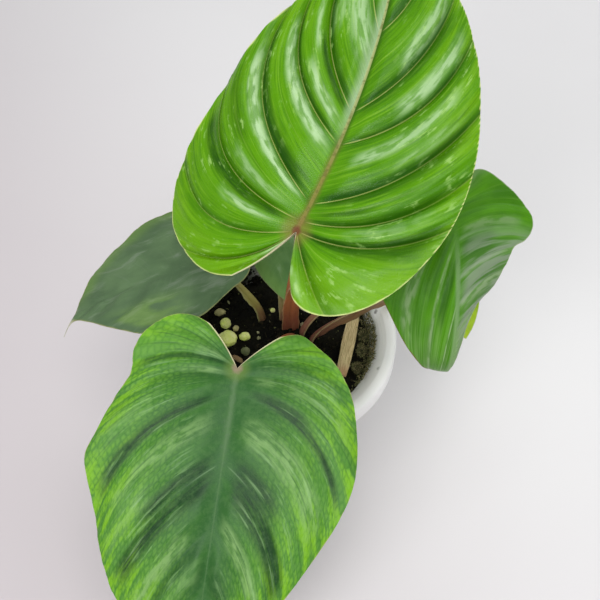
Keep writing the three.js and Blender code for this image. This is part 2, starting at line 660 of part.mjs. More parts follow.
function makeSoil() {
  let soil = toSolid(skinOver(soilRings()));
  soil = soil.subtract(makeStemSolid(GAP));
  for (const { foot: [x, y], halfWidth } of Object.values(PETIOLES)) {
    const radius = halfWidth[0] + HOLE_SLACK;
    const hole = new THREE.CylinderGeometry(radius, radius, HOLE_HEIGHT, 10).rotateX(Math.PI / 2);
    soil = soil.subtract(toSolid(hole.translate(x, y, NODE_TOP + HOLE_HEIGHT / 2)));
  }
  for (const pebble of PEBBLES) soil = soil.subtract(toSolid(lumpGeometry(pebble, GAP, PEBBLE_ROUGHNESS)));
  for (const tuft of MOSS_TUFTS) soil = soil.subtract(toSolid(lumpGeometry(tuft, GAP, MOSS_ROUGHNESS)));
  for (const chip of BARK_CHIPS) soil = soil.subtract(toSolid(chipGeometry(chip, GAP)));
  const whole = soil.decompose().sort((a, b) => b.volume() - a.volume())[0];
  addPiece('soil', toGeometry(whole), 'soil');
}

makePot();
makeSoil();
addPiece('stem', toGeometry(makeStemSolid(0)), 'stem');
for (const [name, leaf] of Object.entries(LEAVES)) {
  makePetiole(`petiole_${name}`, PETIOLES[name], leaf);
  makeBlade(`leaf_${name}`, leaf);
}
PEBBLES.forEach((pebble, index) => {
  addPiece(`pebble_${index + 1}`, lumpGeometry(pebble, 0, PEBBLE_ROUGHNESS), 'pebble');
});
MOSS_TUFTS.forEach((tuft, index) => {
  addPiece(`moss_${index + 1}`, lumpGeometry(tuft, 0, MOSS_ROUGHNESS), 'moss');
});
BARK_CHIPS.forEach((chip, index) => {
  addPiece(`bark_${index + 1}`, chipGeometry(chip, 0), 'bark');
});

export default plant;
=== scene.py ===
# %% [markdown]
# # A potted creeping philodendron
# The plant is young: a short rooted stem in a white plastic pot, six petioles and six heart-shaped
# blades with deep, sunken side veins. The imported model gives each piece's size and place. This lesson
# makes finer pieces with the same forms, paints them, and lights them as soft daylight does.

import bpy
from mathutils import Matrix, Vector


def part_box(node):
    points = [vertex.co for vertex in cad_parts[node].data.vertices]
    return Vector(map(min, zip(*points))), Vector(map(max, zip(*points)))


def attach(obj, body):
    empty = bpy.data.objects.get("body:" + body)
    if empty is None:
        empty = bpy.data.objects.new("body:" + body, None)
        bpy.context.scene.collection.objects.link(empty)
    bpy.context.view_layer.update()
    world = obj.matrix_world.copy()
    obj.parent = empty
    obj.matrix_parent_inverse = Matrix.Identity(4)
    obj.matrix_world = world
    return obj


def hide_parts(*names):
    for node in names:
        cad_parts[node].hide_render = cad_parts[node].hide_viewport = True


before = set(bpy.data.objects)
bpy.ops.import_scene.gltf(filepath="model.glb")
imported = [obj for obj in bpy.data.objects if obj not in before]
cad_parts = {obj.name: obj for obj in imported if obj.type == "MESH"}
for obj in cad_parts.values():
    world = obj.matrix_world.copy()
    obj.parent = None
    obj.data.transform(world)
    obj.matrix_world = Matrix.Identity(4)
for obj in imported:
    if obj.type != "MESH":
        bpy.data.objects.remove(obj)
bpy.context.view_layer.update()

import math
import random

import bpy
import numpy as np
from mathutils import Vector, noise

MM = 0.001
print("nodes in the frame:", len(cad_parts))

# %% [markdown]
# ## Small helpers
# An operator acts on all that is selected, so each step first deselects everything. Work in edit mode
# happens between `open_for_editing` and `close_editing`. A modifier is applied as soon as it is set.

# %% Helpers for objects


def only(piece):
    bpy.ops.object.select_all(action="DESELECT")
    piece.select_set(True)
    bpy.context.view_layer.objects.active = piece
    return piece


def named(name):
    piece = bpy.context.object
    piece.name = name
    piece.data.name = name
    return piece


def open_for_editing(piece):
    only(piece)
    bpy.ops.object.mode_set(mode="EDIT")
    bpy.ops.mesh.select_all(action="SELECT")


def close_editing():
    bpy.ops.object.mode_set(mode="OBJECT")


def apply_modifier(piece, kind, **settings):
    only(piece)
    modifier = piece.modifiers.new(kind.title(), kind)
    for setting, value in settings.items():
        setattr(modifier, setting, value)
    bpy.ops.object.modifier_apply(modifier=modifier.name)


def smooth_shaded(piece, degrees=50):
    only(piece)
    bpy.ops.object.shade_smooth_by_angle(angle=math.radians(degrees))


print("an operator now acts on one piece at a time")

# %% [markdown]
# A finished piece is wrapped up in one call: it gets its paints, rides with the plant, and hides the
# solids that it stands for. A piece that stands for none is an extra one.

# %% Wrap up a finished piece


def wrap_up(piece, paints, stands_for=()):
    if not piece.data.materials:
        for paint in paints:
            piece.data.materials.append(paint)
    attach(piece, "root")
    if stands_for:
        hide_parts(*stands_for)
    piece.data.calc_loop_triangles()
    print(piece.name, len(piece.data.loop_triangles), "triangles")


print("a piece can be wrapped up")

# %% [markdown]
# A mesh's points go into one array and come back from one, which is quick and lets a formula move them
# all. Notes on the points, such as a distance to the margin, go the same way, and paints read them.

# %% Helpers for points and numbers


def points_of(piece):
    places = np.empty(3 * len(piece.data.vertices))
    piece.data.vertices.foreach_get("co", places)
    return places.reshape(-1, 3)


def move_points(piece, places):
    piece.data.vertices.foreach_set("co", np.asarray(places, float).ravel())
    piece.data.update()


def note_on_points(piece, name, values):
    layer = piece.data.attributes.new(name, "FLOAT", "POINT")
    layer.data.foreach_set("value", np.asarray(values, np.float32))


def read_points(piece, name):
    values = np.empty(len(piece.data.vertices), np.float32)
    piece.data.attributes[name].data.foreach_get("value", values)
    return values.astype(float)


def ramp(ends, share):
    return ends[0] + (ends[1] - ends[0]) * share


def smoothstep(value, low, high):
    share = np.clip((value - low) / (high - low), 0, 1)
    return share * share * (3 - 2 * share)


print("half of a smooth step:", float(smoothstep(0.5, 0, 1)))


# %% [markdown]
# ## The camera
# The photograph looks down at the plant from in front, at 54 degrees. The eye stands half a metre up.
# The lens is long enough that the top leaf and the front leaf run a little out of the frame.

# %% The camera
EYE = (8.6 * MM, -262.2 * MM, 499.5 * MM)
LOOKS_DOWN = 54
LENS = 46.89

bpy.ops.object.camera_add(location=EYE, rotation=(math.radians(90 - LOOKS_DOWN), 0, 0))
camera = bpy.context.object
camera.data.lens = LENS
camera.data.sensor_width = 36
camera.data.clip_start = 0.01
bpy.context.scene.camera = camera
print("camera at", [round(value, 3) for value in camera.location])

# %% [markdown]
# ## Paint by arithmetic
# A material is a graph of nodes. Written out link by link it is long, so one small class wraps a
# socket and overloads the signs: `1 - mask * 2` then adds its Math nodes by itself. Any other node
# comes from one method that takes the node's type, its settings and its inputs.

# %% A socket that can be reckoned with


class Wire:
    def __init__(self, paint, socket):
        self.paint = paint
        self.socket = socket

    def maths(self, operation, *values):
        return self.paint.node("ShaderNodeMath", {"operation": operation}, dict(enumerate(values)))

    def __add__(self, other):
        return self.maths("ADD", self, other)

    def __sub__(self, other):
        return self.maths("SUBTRACT", self, other)

    def __rsub__(self, other):
        return self.maths("SUBTRACT", other, self)

    def __mul__(self, other):
        return self.maths("MULTIPLY", self, other)

    def __truediv__(self, other):
        return self.maths("DIVIDE", self, other)

    def __pow__(self, other):
        return self.maths("POWER", self, other)

    __radd__ = __add__
    __rmul__ = __mul__


print("a wire knows the signs + - * / and **")

# %% [markdown]
# A paint holds one material, and its methods are named for what a painter does: take a place, read a
# note from the points, blend or tint colours, lay clouds or cells, raise a relief. `finished` then
# connects the results to the shader.

# %% A paint and its strokes


class Paint:
    def __init__(self, name):
        self.material = bpy.data.materials.new(name)
        self.material.use_nodes = True
        self.tree = self.material.node_tree
        self.shader = self.tree.nodes["Principled BSDF"]

    def node(self, kind, settings=None, sockets=None, output=0):
        made = self.tree.nodes.new(kind)
        for setting, value in (settings or {}).items():
            setattr(made, setting, value)
        for key, value in (sockets or {}).items():
            self.connect(made.inputs[key], value)
        return Wire(self, made.outputs[output])

    def connect(self, socket, value):
        if isinstance(value, Wire):
            self.tree.links.new(value.socket, socket)
        elif isinstance(value, tuple) and socket.type == "RGBA":
            socket.default_value = (*value, 1)
        else:
            socket.default_value = value

    def place(self):
        return self.node("ShaderNodeTexCoord", output="Object")

    def noted(self, name):
        return self.node("ShaderNodeAttribute", {"attribute_name": name}, output="Fac")

    def parts(self, vector):
        split = self.node("ShaderNodeSeparateXYZ", sockets={0: vector}).socket.node
        return [Wire(self, socket) for socket in split.outputs]

    def smooth(self, value, low, high, start=0.0, end=1.0):
        limits = {"Value": value, "From Min": low, "From Max": high, "To Min": start, "To Max": end}
        return self.node("ShaderNodeMapRange", {"interpolation_type": "SMOOTHSTEP"}, limits)

    def blend(self, share, first, second):
        return self.node("ShaderNodeMix", {"data_type": "RGBA"}, {0: share, 6: first, 7: second}, output=2)

    def tinted(self, colour, share, tint):
        settings = {"data_type": "RGBA", "blend_type": "MULTIPLY"}
        return self.node("ShaderNodeMix", settings, {0: share, 6: colour, 7: tint}, output=2)

    def cloud(self, vector, scale, detail=3.0, roughness=0.55, distortion=0.0):
        sockets = {"Vector": vector, "Scale": scale, "Detail": detail}
        sockets |= {"Roughness": roughness, "Distortion": distortion}
        return self.node("ShaderNodeTexNoise", sockets=sockets)

    def cells(self, vector, scale):
        return self.node("ShaderNodeTexVoronoi", sockets={"Vector": vector, "Scale": scale})

    def relief(self, height, depth):
        return self.node("ShaderNodeBump", sockets={"Height": height, "Distance": depth, "Strength": 1.0})

    def finished(self, **sockets):
        for name, value in sockets.items():
            self.connect(self.shader.inputs[name.replace("_", " ")], value)
        return self.material


print("the paint class is ready")

# %% [markdown]
# ## The pot
# A nursery pot is blown or pressed from thin white plastic: a tapered wall, a flare at the top, a flat
# rim, and a skirt that turns down from it. It could be turned from a profile with a screw. Here the
# floor is a circle, and its face is extruded and resized again and again: up the outside, over the
# rim, and down the inside. The four drain holes are cut with a boolean.

# %% The pot's sizes
POT_HEIGHT = 105
RIM_RADIUS = 67
BASE_RADIUS = 42
POT_WALL = 2.4
RIM_BAND_WIDTH = 5.2
SKIRT_HEIGHT = 14
NECK_RADIUS = 52.3
NECK_DROP = 10.4
DRAIN_RADIUS = 4
DRAIN_RING = 26
DRAIN_COUNT = 4
POT_SIDES = 128
LIP = 1.2
RING_COUNT = 5
RING_DEPTH = 0.16

flare_top = RIM_RADIUS - RIM_BAND_WIDTH
neck_level = POT_HEIGHT - NECK_DROP
inner_base = BASE_RADIUS - POT_WALL
print("the flare is", round(flare_top - NECK_RADIUS, 1), "mm wide and", NECK_DROP, "mm deep")

# %% [markdown]
# The profile is a list of radius and level. It goes up the outside, round the rim and its skirt, down
# the flare in fine steps that the mould leaves, and down the inside to the floor.

# %% The pot's profile


def inner_wall_radius(level):
    return inner_base + (NECK_RADIUS - inner_base) * level / neck_level


def flare_rings():
    """Fine steps that the mould leaves round the sloped inside of the flare."""
    top = np.array([flare_top - 0.6, POT_HEIGHT - 0.84])
    foot = np.array([NECK_RADIUS + 0.6, neck_level + 0.8])
    steps = []
    for ring in range(RING_COUNT):
        ledge = top + (foot - top) * (ring + 0.5) / RING_COUNT
        steps += [ledge + [-RING_DEPTH, 0.3], ledge + [RING_DEPTH, -0.2]]
    return [tuple(top), *map(tuple, steps), tuple(foot)]


pot_profile = [
    (BASE_RADIUS, LIP),
    (NECK_RADIUS + POT_WALL * 0.8, neck_level - POT_WALL * 0.6),
    (flare_top + POT_WALL * 0.2, POT_HEIGHT - POT_WALL - 0.2),
    (RIM_RADIUS - POT_WALL, POT_HEIGHT - POT_WALL - 0.4),
    (RIM_RADIUS - POT_WALL + 0.3, POT_HEIGHT - SKIRT_HEIGHT + 0.6),
    (RIM_RADIUS - LIP, POT_HEIGHT - SKIRT_HEIGHT),
    (RIM_RADIUS, POT_HEIGHT - SKIRT_HEIGHT + LIP),
    (RIM_RADIUS, POT_HEIGHT - LIP * 1.4),
    (RIM_RADIUS - LIP * 0.5, POT_HEIGHT - LIP * 0.4),
    (RIM_RADIUS - LIP * 1.4, POT_HEIGHT),
    (flare_top + LIP, POT_HEIGHT),
    *flare_rings(),
    (NECK_RADIUS, neck_level - 1),
    (inner_wall_radius(POT_WALL + 2), POT_WALL + 2),
    (inner_wall_radius(POT_WALL) - 1.6, POT_WALL),
]
print("corners on the pot's profile:", len(pot_profile))

# %% Turn the pot up from its floor


def raise_by_profile(start, profile):
    radius, level = start
    for next_radius, next_level in profile:
        rise = (0, 0, (next_level - level) * MM)
        bpy.ops.mesh.extrude_region_move(TRANSFORM_OT_translate={"value": rise})
        widen = next_radius / radius
        bpy.ops.transform.resize(value=(widen, widen, 1), center_override=(0, 0, next_level * MM))
        radius, level = next_radius, next_level


bpy.ops.object.select_all(action="DESELECT")
pot_start = (BASE_RADIUS - LIP, 0)
bpy.ops.mesh.primitive_circle_add(vertices=POT_SIDES, radius=pot_start[0] * MM, fill_type="NGON")
pot = named("nursery_pot")
open_for_editing(pot)
raise_by_profile(pot_start, pot_profile)
bpy.ops.mesh.select_all(action="SELECT")
bpy.ops.mesh.normals_make_consistent(inside=False)
close_editing()
apply_modifier(
    pot, "BEVEL", width=0.5 * MM, segments=3, limit_method="ANGLE", angle_limit=math.radians(38)
)
print("points on the pot:", len(pot.data.vertices))

# %% [markdown]
# Water leaves the pot through four holes in its floor. A cylinder is set through each spot in turn, its
# shape is cut away from the pot, and the cylinder itself is then removed.

# %% Cut the drain holes
DRILL_SIDES = 32
drill_depth = 5 * POT_WALL * MM

for hole in range(DRAIN_COUNT):
    angle = (hole + 0.5) / DRAIN_COUNT * 2 * math.pi
    spot = (DRAIN_RING * MM * math.cos(angle), DRAIN_RING * MM * math.sin(angle), 0)
    bpy.ops.object.select_all(action="DESELECT")
    bpy.ops.mesh.primitive_cylinder_add(
        vertices=DRILL_SIDES, radius=DRAIN_RADIUS * MM, depth=drill_depth, location=spot
    )
    drill = bpy.context.object
    apply_modifier(pot, "BOOLEAN", operation="DIFFERENCE", object=drill, solver="EXACT")
    bpy.data.objects.remove(drill)
smooth_shaded(pot, 35)
print("drain holes cut:", DRAIN_COUNT)

# %% [markdown]
# The plastic is off-white and half glossy. The sloped band inside the rim is a little greyer, with
# fine rings from the mould and a few dark smudges where wet soil touched it. On the left the band is
# painted nearly black, high up the wall. Every mark is a mask made from the place.

# %% Paint the pot
SMUDGES = {(55.8, 18.0): 1.5, (54.6, 8.0): 1.2, (55.2, -24.0): 1.8}
SMUDGE_COLOUR = (0.10, 0.09, 0.07)
DUST_COLOUR = (0.20, 0.16, 0.11)
LEFT_BAND_DARK = (0.022, 0.018, 0.012)
MOULD_RINGS = 9000


def pot_paint():
    paint = Paint("white plastic")
    place = paint.place()
    x, y, z = paint.parts(place)
    radius = (x * x + y * y) ** 0.5
    clouds = paint.cloud(place, 30, 4)
    fine = paint.cloud(place, 420, 3)
    colour = paint.blend(clouds, (0.91, 0.91, 0.89), (0.95, 0.95, 0.94))
    inside = paint.smooth(radius, 0.0612, 0.0585) * paint.smooth(z, 0.09, 0.096)
    colour = paint.tinted(colour, inside, (0.98, 0.985, 0.975))
    dusty = paint.smooth(z, 0.1, 0.0935) * inside * paint.smooth(paint.cloud(place, 160, 5), 0.42, 0.62)
    colour = paint.blend(dusty * 0.55, colour, DUST_COLOUR)
    # The band is painted nearly black on its left side, high up the wall.
    at_left = inside * paint.smooth(x, -0.004, -0.03)
    darkened_left = at_left * paint.smooth(z + (fine - 0.5) * 0.004, 0.1045, 0.1015)
    colour = paint.blend(darkened_left * paint.smooth(clouds, 0.25, 0.45, 0.75, 0.97), colour, LEFT_BAND_DARK)
    for (across, along), size in SMUDGES.items():
        away = ((x - across * MM) ** 2 + (y - along * MM) ** 2) ** 0.5 + (fine - 0.5) * 0.0018
        spot = paint.smooth(away, size * MM, size * 0.35 * MM) * inside
        colour = paint.blend(spot * 0.7, colour, SMUDGE_COLOUR)
    rings = paint.node("ShaderNodeMath", {"operation": "SINE"}, {0: radius * MOULD_RINGS})
    height = rings * 0.05 * inside + fine * 0.12 + clouds * 0.3
    return paint.finished(
        Base_Color=colour,
        Roughness=paint.smooth(clouds, 0.3, 0.7, 0.34, 0.5),
        Normal=paint.relief(height, 0.0006),
        Specular_IOR_Level=0.45,
    )


wrap_up(pot, [pot_paint()], ["pot"])

# %% [markdown]
# ## The soil
# The mix is dark peat with bits of fibre. Its bed starts as a circle, extruded up the inside of the
# pot, and its top face is inset in many rings whose points then follow the solid's mound and lumps.
# A closer look shows separate crumbs, and a bump can't give their shadows. So a few crumbs are
# modelled once and stamped over the bed by the thousand, as one mesh.

# %% The soil's form
SOIL_LEVEL = 95
SOIL_MOUND = 2.2
SOIL_LUMP = 0.9
SOIL_SIDES = 160
SOIL_INSETS = 40
SOIL_RADIUS = NECK_RADIUS - 0.6
GAP = 0.3


def soil_height(x, y):
    radius = np.hypot(x, y)
    mound = SOIL_MOUND * np.exp(-((radius / 30) ** 2))
    lumps = np.sin(x * 0.21 + 1.3) * np.cos(y * 0.27 - 0.4) + 0.6 * np.sin(x * 0.43 - y * 0.38)
    edge = smoothstep(NECK_RADIUS - radius, 0, 8)
    return SOIL_LEVEL + (mound + SOIL_LUMP * lumps) * edge


def soil_grit(x, y):
    """Small hollows and heaps, in millimetres."""
    coarse = noise.noise(Vector((x * 0.16, y * 0.16, 3.0)))
    fine = noise.noise(Vector((x * 0.55, y * 0.55, 8.0)))
    return 1.1 * coarse + 0.6 * fine


print("the soil's top rises to", round(float(soil_height(0, 0)), 1), "mm in the middle")

# %% [markdown]
# The bed rises inside the wall by the same helper that raised the pot. Its top face is inset in rings,
# and only the points of the top then follow the mound and the grit, so the side stays clear of the wall.

# %% Extrude and inset the soil bed
floor_level = POT_WALL + GAP
start = (inner_wall_radius(floor_level) - 2.8, floor_level)
bpy.ops.object.select_all(action="DESELECT")
bpy.ops.mesh.primitive_circle_add(
    vertices=SOIL_SIDES, radius=start[0] * MM, fill_type="NGON", location=(0, 0, floor_level * MM)
)
soil = named("soil_bed")
bpy.ops.object.transform_apply(location=True, rotation=False, scale=False)
open_for_editing(soil)
raise_by_profile(start, [
    (inner_wall_radius(floor_level + 1.7) - 0.45, floor_level + 2.3),
    (SOIL_RADIUS, SOIL_LEVEL - 1.6),
    (SOIL_RADIUS - 0.4, SOIL_LEVEL),
])
for ring in range(SOIL_INSETS):
    bpy.ops.mesh.inset(thickness=(SOIL_RADIUS - 1) / SOIL_INSETS * MM)
bpy.ops.mesh.select_all(action="SELECT")
bpy.ops.mesh.normals_make_consistent(inside=False)
close_editing()

places = points_of(soil)
top = places[:, 2] > (SOIL_LEVEL - 0.1) * MM
grit = np.array([soil_grit(x / MM, y / MM) for x, y in places[top, :2]])
places[top, 2] = (soil_height(places[top, 0] / MM, places[top, 1] / MM) - 0.5 + grit) * MM
move_points(soil, places)
smooth_shaded(soil, 60)
print("soil top points:", int(top.sum()))

# %% [markdown]
# Soil paint: near-black peat with brown clods, a few greenish grains and fewer pale ones. A `tone` is
# noted on every crumb, so that neighbours differ. The bed under them has the tone nought all over, so
# clouds alone vary its peat.

# %% Paint the soil


def soil_paint():
    paint = Paint("peat soil")
    place = paint.place()
    tone = paint.noted("tone")
    clouds = paint.cloud(place, 90, 6, 0.65)
    fine = paint.cloud(place, 700, 4, 0.7)
    colour = paint.blend(paint.smooth(clouds, 0.35, 0.7), (0.003, 0.003, 0.002), (0.011, 0.010, 0.006))
    colour = paint.blend(paint.smooth(tone, 0.6, 0.9) * 0.8, colour, (0.034, 0.028, 0.014))
    colour = paint.blend(paint.smooth(tone, 0.9, 0.93), colour, (0.13, 0.14, 0.05))
    colour = paint.blend(paint.smooth(tone, 0.97, 0.98), colour, (0.42, 0.41, 0.24))
    colour = paint.blend(paint.smooth(fine, 0.6, 0.8) * 0.35, colour, (0.09, 0.07, 0.05))
    return paint.finished(
        Base_Color=colour,
        Roughness=paint.smooth(clouds, 0.3, 0.7, 0.75, 1.0),
        Normal=paint.relief(fine * 0.6 + clouds * 0.8, 0.0012),
        Specular_IOR_Level=0.12,
    )


peat = soil_paint()
note_on_points(soil, "tone", np.zeros(len(soil.data.vertices)))
wrap_up(soil, [peat], ["soil"])

# %% [markdown]
# A crumb is a roughened icosphere, and a fibre is a long thin one. Each model is read into arrays and
# thrown away, and copies of the arrays are turned, sized and put in place. That is far quicker than
# joining thousands of objects. A crumb has only twenty faces, so thousands of them stay light.

# %% Model a crumb and take it up


def roughened_ball(name, seed, stretch, detail=1, roughness=0.28):
    bpy.ops.object.select_all(action="DESELECT")
    bpy.ops.mesh.primitive_ico_sphere_add(subdivisions=detail, radius=1)
    ball = named(name)
    open_for_editing(ball)
    bpy.ops.transform.vertex_random(offset=roughness, seed=seed)
    bpy.ops.transform.resize(value=stretch, center_override=(0, 0, 0))
    close_editing()
    return ball


def take_model(piece):
    """The corners and triangles of a small model, which is then thrown away."""
    piece.data.calc_loop_triangles()
    corners = points_of(piece)
    triangles = np.array([list(triangle.vertices) for triangle in piece.data.loop_triangles])
    bpy.data.objects.remove(piece)
    return corners, triangles


crumb_models = [
    take_model(roughened_ball(f"crumb_{seed}", seed, stretch))
    for seed, stretch in enumerate([(1, 0.9, 0.7), (1.2, 0.8, 0.6), (0.9, 1, 0.9), (1.7, 0.6, 0.4)])
]
fibre_model = take_model(roughened_ball("fibre", 9, (6, 0.35, 0.3)))
print("crumb models:", len(crumb_models), "of", len(crumb_models[0][1]), "triangles each")

# %% [markdown]
# A stamp says which model to copy, how to turn it, how big it is, where it goes and what tone it carries.
# All the copies become one mesh, and every point notes its copy's tone for the paint.

# %% Stamp many copies as one mesh


def turning(yaw, pitch, roll):
    cy, sy, cp, sp, cr, sr = (f(a) for a in (yaw, pitch, roll) for f in (math.cos, math.sin))
    about_z = np.array([[cy, -sy, 0], [sy, cy, 0], [0, 0, 1]])
    about_y = np.array([[cp, 0, sp], [0, 1, 0], [-sp, 0, cp]])
    about_x = np.array([[1, 0, 0], [0, cr, -sr], [0, sr, cr]])
    return about_z @ about_y @ about_x


def stamped(name, stamps):
    """One mesh of many copies. A stamp is a model, a turning, a size, a place and a tone."""
    corners, triangles, tones, count = [], [], [], 0
    for (model_corners, model_triangles), turn, size, place, tone in stamps:
        corners.append((model_corners * size) @ turn.T + place)
        triangles.append(model_triangles + count)
        tones.append(np.full(len(model_corners), tone))
        count += len(model_corners)
    mesh = bpy.data.meshes.new(name)
    mesh.from_pydata(np.concatenate(corners) * MM, [], np.concatenate(triangles).tolist())
    piece = bpy.data.objects.new(name, mesh)
    bpy.context.collection.objects.link(piece)
    note_on_points(piece, "tone", np.concatenate(tones))
    return piece


print("turned by nothing, a model stays as it is:", np.allclose(turning(0, 0, 0), np.eye(3)))

# %% [markdown]
# Crumbs lie all over the bed. More are heaped in a collar round the feet of the petioles, where the
# stem lifts the soil, and in a bank of dark crumbs up the pot's left wall.
# The spots are drawn at random from a fixed seed, so the soil comes out the same each time.

# %% Where crumbs lie
CRUMB_COUNT = 1500
FIBRE_COUNT = 90
COLLAR_COUNT = 170
COLLAR_SPREAD = 7
COLLAR_SHIFT = -4
COLLAR_HEAP, HEAP_REACH = 2.6, 8
BANK_COUNT = 900
BANK_ANGLES = (92, 238, 190)
BANK_REACH = 7
BANK_SLOPE = 1.45
ANY_YAW = 6.28
LEAN = 0.6
SUNK = 0.5

scatter = random.Random(20)


def spot_on_soil():
    radius = (SOIL_RADIUS - 1.4) * math.sqrt(scatter.random())
    angle = scatter.uniform(0, 2 * math.pi)
    return radius * math.cos(angle), radius * math.sin(angle)


def soil_surface(x, y):
    return float(soil_height(x, y)) - SUNK + soil_grit(x, y)


def heaped_crumb(size, place):
    turn = turning(scatter.uniform(0, ANY_YAW), scatter.uniform(-LEAN, LEAN), 0)
    return scatter.choice(crumb_models), turn, size, place, 0.9 * scatter.random()


print("crumbs and fibres to come:", CRUMB_COUNT + COLLAR_COUNT + BANK_COUNT + FIBRE_COUNT)

# %% [markdown]
# The loose crumbs come first, then the collar, the bank and the fibres. Small crumbs are far more common
# than big ones, because a random share is raised to a power before it sets the size.

# %% Scatter and heap the crumbs
crumbs = []
for _ in range(CRUMB_COUNT):
    x, y = spot_on_soil()
    size = 0.35 + 1.25 * scatter.random() ** 3
    turn = turning(scatter.uniform(0, ANY_YAW), scatter.uniform(-LEAN, LEAN), scatter.uniform(-LEAN, LEAN))
    lift = size * scatter.uniform(-0.1, 0.45)
    model = scatter.choice(crumb_models)
    crumbs.append((model, turn, size, (x, y, soil_surface(x, y) + lift), scatter.random()))

stem_middle = (np.array(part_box("stem")[0]) + np.array(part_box("stem")[1])) / 2 / MM
for _ in range(COLLAR_COUNT):
    away, around = abs(scatter.gauss(0, COLLAR_SPREAD)), scatter.uniform(0, 2 * math.pi)
    x = stem_middle[0] + away * math.cos(around)
    y = stem_middle[1] + COLLAR_SHIFT + away * math.sin(around)
    size = 0.5 + 1.1 * scatter.random() ** 2
    heap = COLLAR_HEAP * math.exp(-((away / HEAP_REACH) ** 2)) * scatter.random()
    crumbs.append(heaped_crumb(size, (x, y, soil_surface(x, y) + heap)))

# A bank of dark crumbs up the pot's left wall, which darkens the wall there.
for _ in range(BANK_COUNT):
    around = math.radians(scatter.triangular(*BANK_ANGLES))
    radius = SOIL_RADIUS - 1 + BANK_REACH * scatter.random() ** 1.3
    up_wall = BANK_SLOPE * max(0.0, radius - SOIL_RADIUS)
    place = (radius * math.cos(around), radius * math.sin(around), SOIL_LEVEL + 0.6 + up_wall)
    crumbs.append(heaped_crumb(0.6 + 1.1 * scatter.random(), place))

for _ in range(FIBRE_COUNT):
    x, y = spot_on_soil()
    turn = turning(scatter.uniform(0, ANY_YAW), scatter.uniform(-0.35, 0.35), 0)
    size = scatter.uniform(0.35, 0.8)
    place = (x, y, soil_surface(x, y) + SUNK)
    crumbs.append((fibre_model, turn, size, place, scatter.uniform(0.6, 0.9)))

soil_crumbs = stamped("soil_crumbs", crumbs)
wrap_up(soil_crumbs, [peat])

# %% [markdown]
# ## The blades
# A philodendron blade grows along its veins: side veins leave the midrib, bow outwards and reach the
# margin, and the skin between them swells. So its mesh is laid out the same way. Each half starts as
# a grid whose one direction runs along the veins and whose other counts them. No edit-mode operator
# can bend a grid by such a rule, so its points are moved by formula, the same that shaped the solid,
# with many more rows. The two halves are then joined, merged along the midrib, and thickened.

# %% Measures of the six blades
BLADE_THICKNESS = 0.9
CURL_SPAN = 60
SINUS_BOW = 0.07
LAST_VEIN_SHARE = 0.93
VEIN_SLACK = 1e-6
SWELL_SPAN = 18
HOOK_START = 0.9
TIP_START = 0.7
KEEL = 1.1
MIDRIB_STEPS = 24


def heart(half_width, length):
    shape = [
        (0.2, -0.13), (0.42, -0.19), (0.7, -0.14), (0.93, 0), (1, 0.18),
        (0.96, 0.37), (0.84, 0.54), (0.65, 0.7), (0.4, 0.84), (0.14, 0.95), (0, 1),
    ]
    return [(x * half_width, y * length) for x, y in shape]


def even_curve(points, per_span=40):
    """A smooth curve through the points, with the share of its length at each of its samples."""
    points = np.array(points, float)
    spans = len(points) - 1
    padded = np.vstack([points[0], points, points[-1]])
    samples = []
    for span in range(spans):
        a, b, c, d = padded[span:span + 4]
        t = np.linspace(0, 1, per_span, endpoint=span == spans - 1)[:, None]
        v0, v1 = (c - a) / 2, (d - b) / 2
        cubic, square = 2 * b - 2 * c + v0 + v1, 3 * c - 3 * b - 2 * v0 - v1
        samples.append(cubic * t ** 3 + square * t ** 2 + v0 * t + b)
    samples = np.vstack(samples)
    lengths = np.concatenate([[0], np.cumsum(np.linalg.norm(np.diff(samples, axis=0), axis=1))])
    return samples, lengths / lengths[-1]


print("a plain heart outline has", len(heart(20, 60)), "points to a side")

# %% [markdown]
# A leaf is described by where its petiole joins it, the way it heads, bends, pitches, rolls, folds and
# curls, its two outlines and its veins. From its side veins it makes one table of rows for each half.
# The sinus, the notch at its foot, counts as the first row, and a last short vein as the end.

# %% How a leaf is described


class Leaf:
    """How a blade lies in space, its veins, and its two outlines in the flat, from the sinus to the tip."""

    def __init__(
        self, seat, heading, bend, pitch, length, roll, fold, curl, veins, quilt, ruffle, left, right,
        hook=0.0, tip_curl=0.0, crease=1.0, bands=(),
    ):
        self.seat = np.array(seat, float)
        self.heading, self.bend, self.pitch, self.length = heading, bend, pitch, length
        self.roll, self.fold, self.curl = roll, fold, curl
        self.quilt, self.ruffle, self.crease = quilt, ruffle, crease
        self.hook, self.tip_curl, self.bands = hook, tip_curl, bands
        self.margins = {-1: even_curve(left), 1: even_curve(right)}
        sinus, end = (0, SINUS_BOW, 0.5), (1, 0, 0.5)
        rows = [(0, sinus, sinus), *veins, (LAST_VEIN_SHARE * length, end, end)]
        self.rows = {
            side: np.array([(row[0], *row[half]) for row in rows]) for side, half in ((-1, 1), (1, 2))
        }
        self.spans = len(veins) + 1


def even_veins(length):
    starts = (0, 0, 0.08, 0.25, 0.44, 0.62, 0.79)
    ends = (0.11, 0.26, 0.43, 0.6, 0.74, 0.85, 0.93)
    bows = (0.15, 0.25, 0.3, 0.27, 0.24, 0.2, 0.15)
    return [(start * length, *2 * [(end, bow, 0.5)]) for start, end, bow in zip(starts, ends, bows)]


print("a small blade has", len(even_veins(60)), "side veins to a half")

# %% [markdown]
# Each row of a vein table says how far up the midrib a vein starts. Then, for the left and the right
# half, it gives the share of the margin where the vein ends, how far it bows and where it bows most.
# The three big blades have their own tables, since their veins sweep differently on each half.

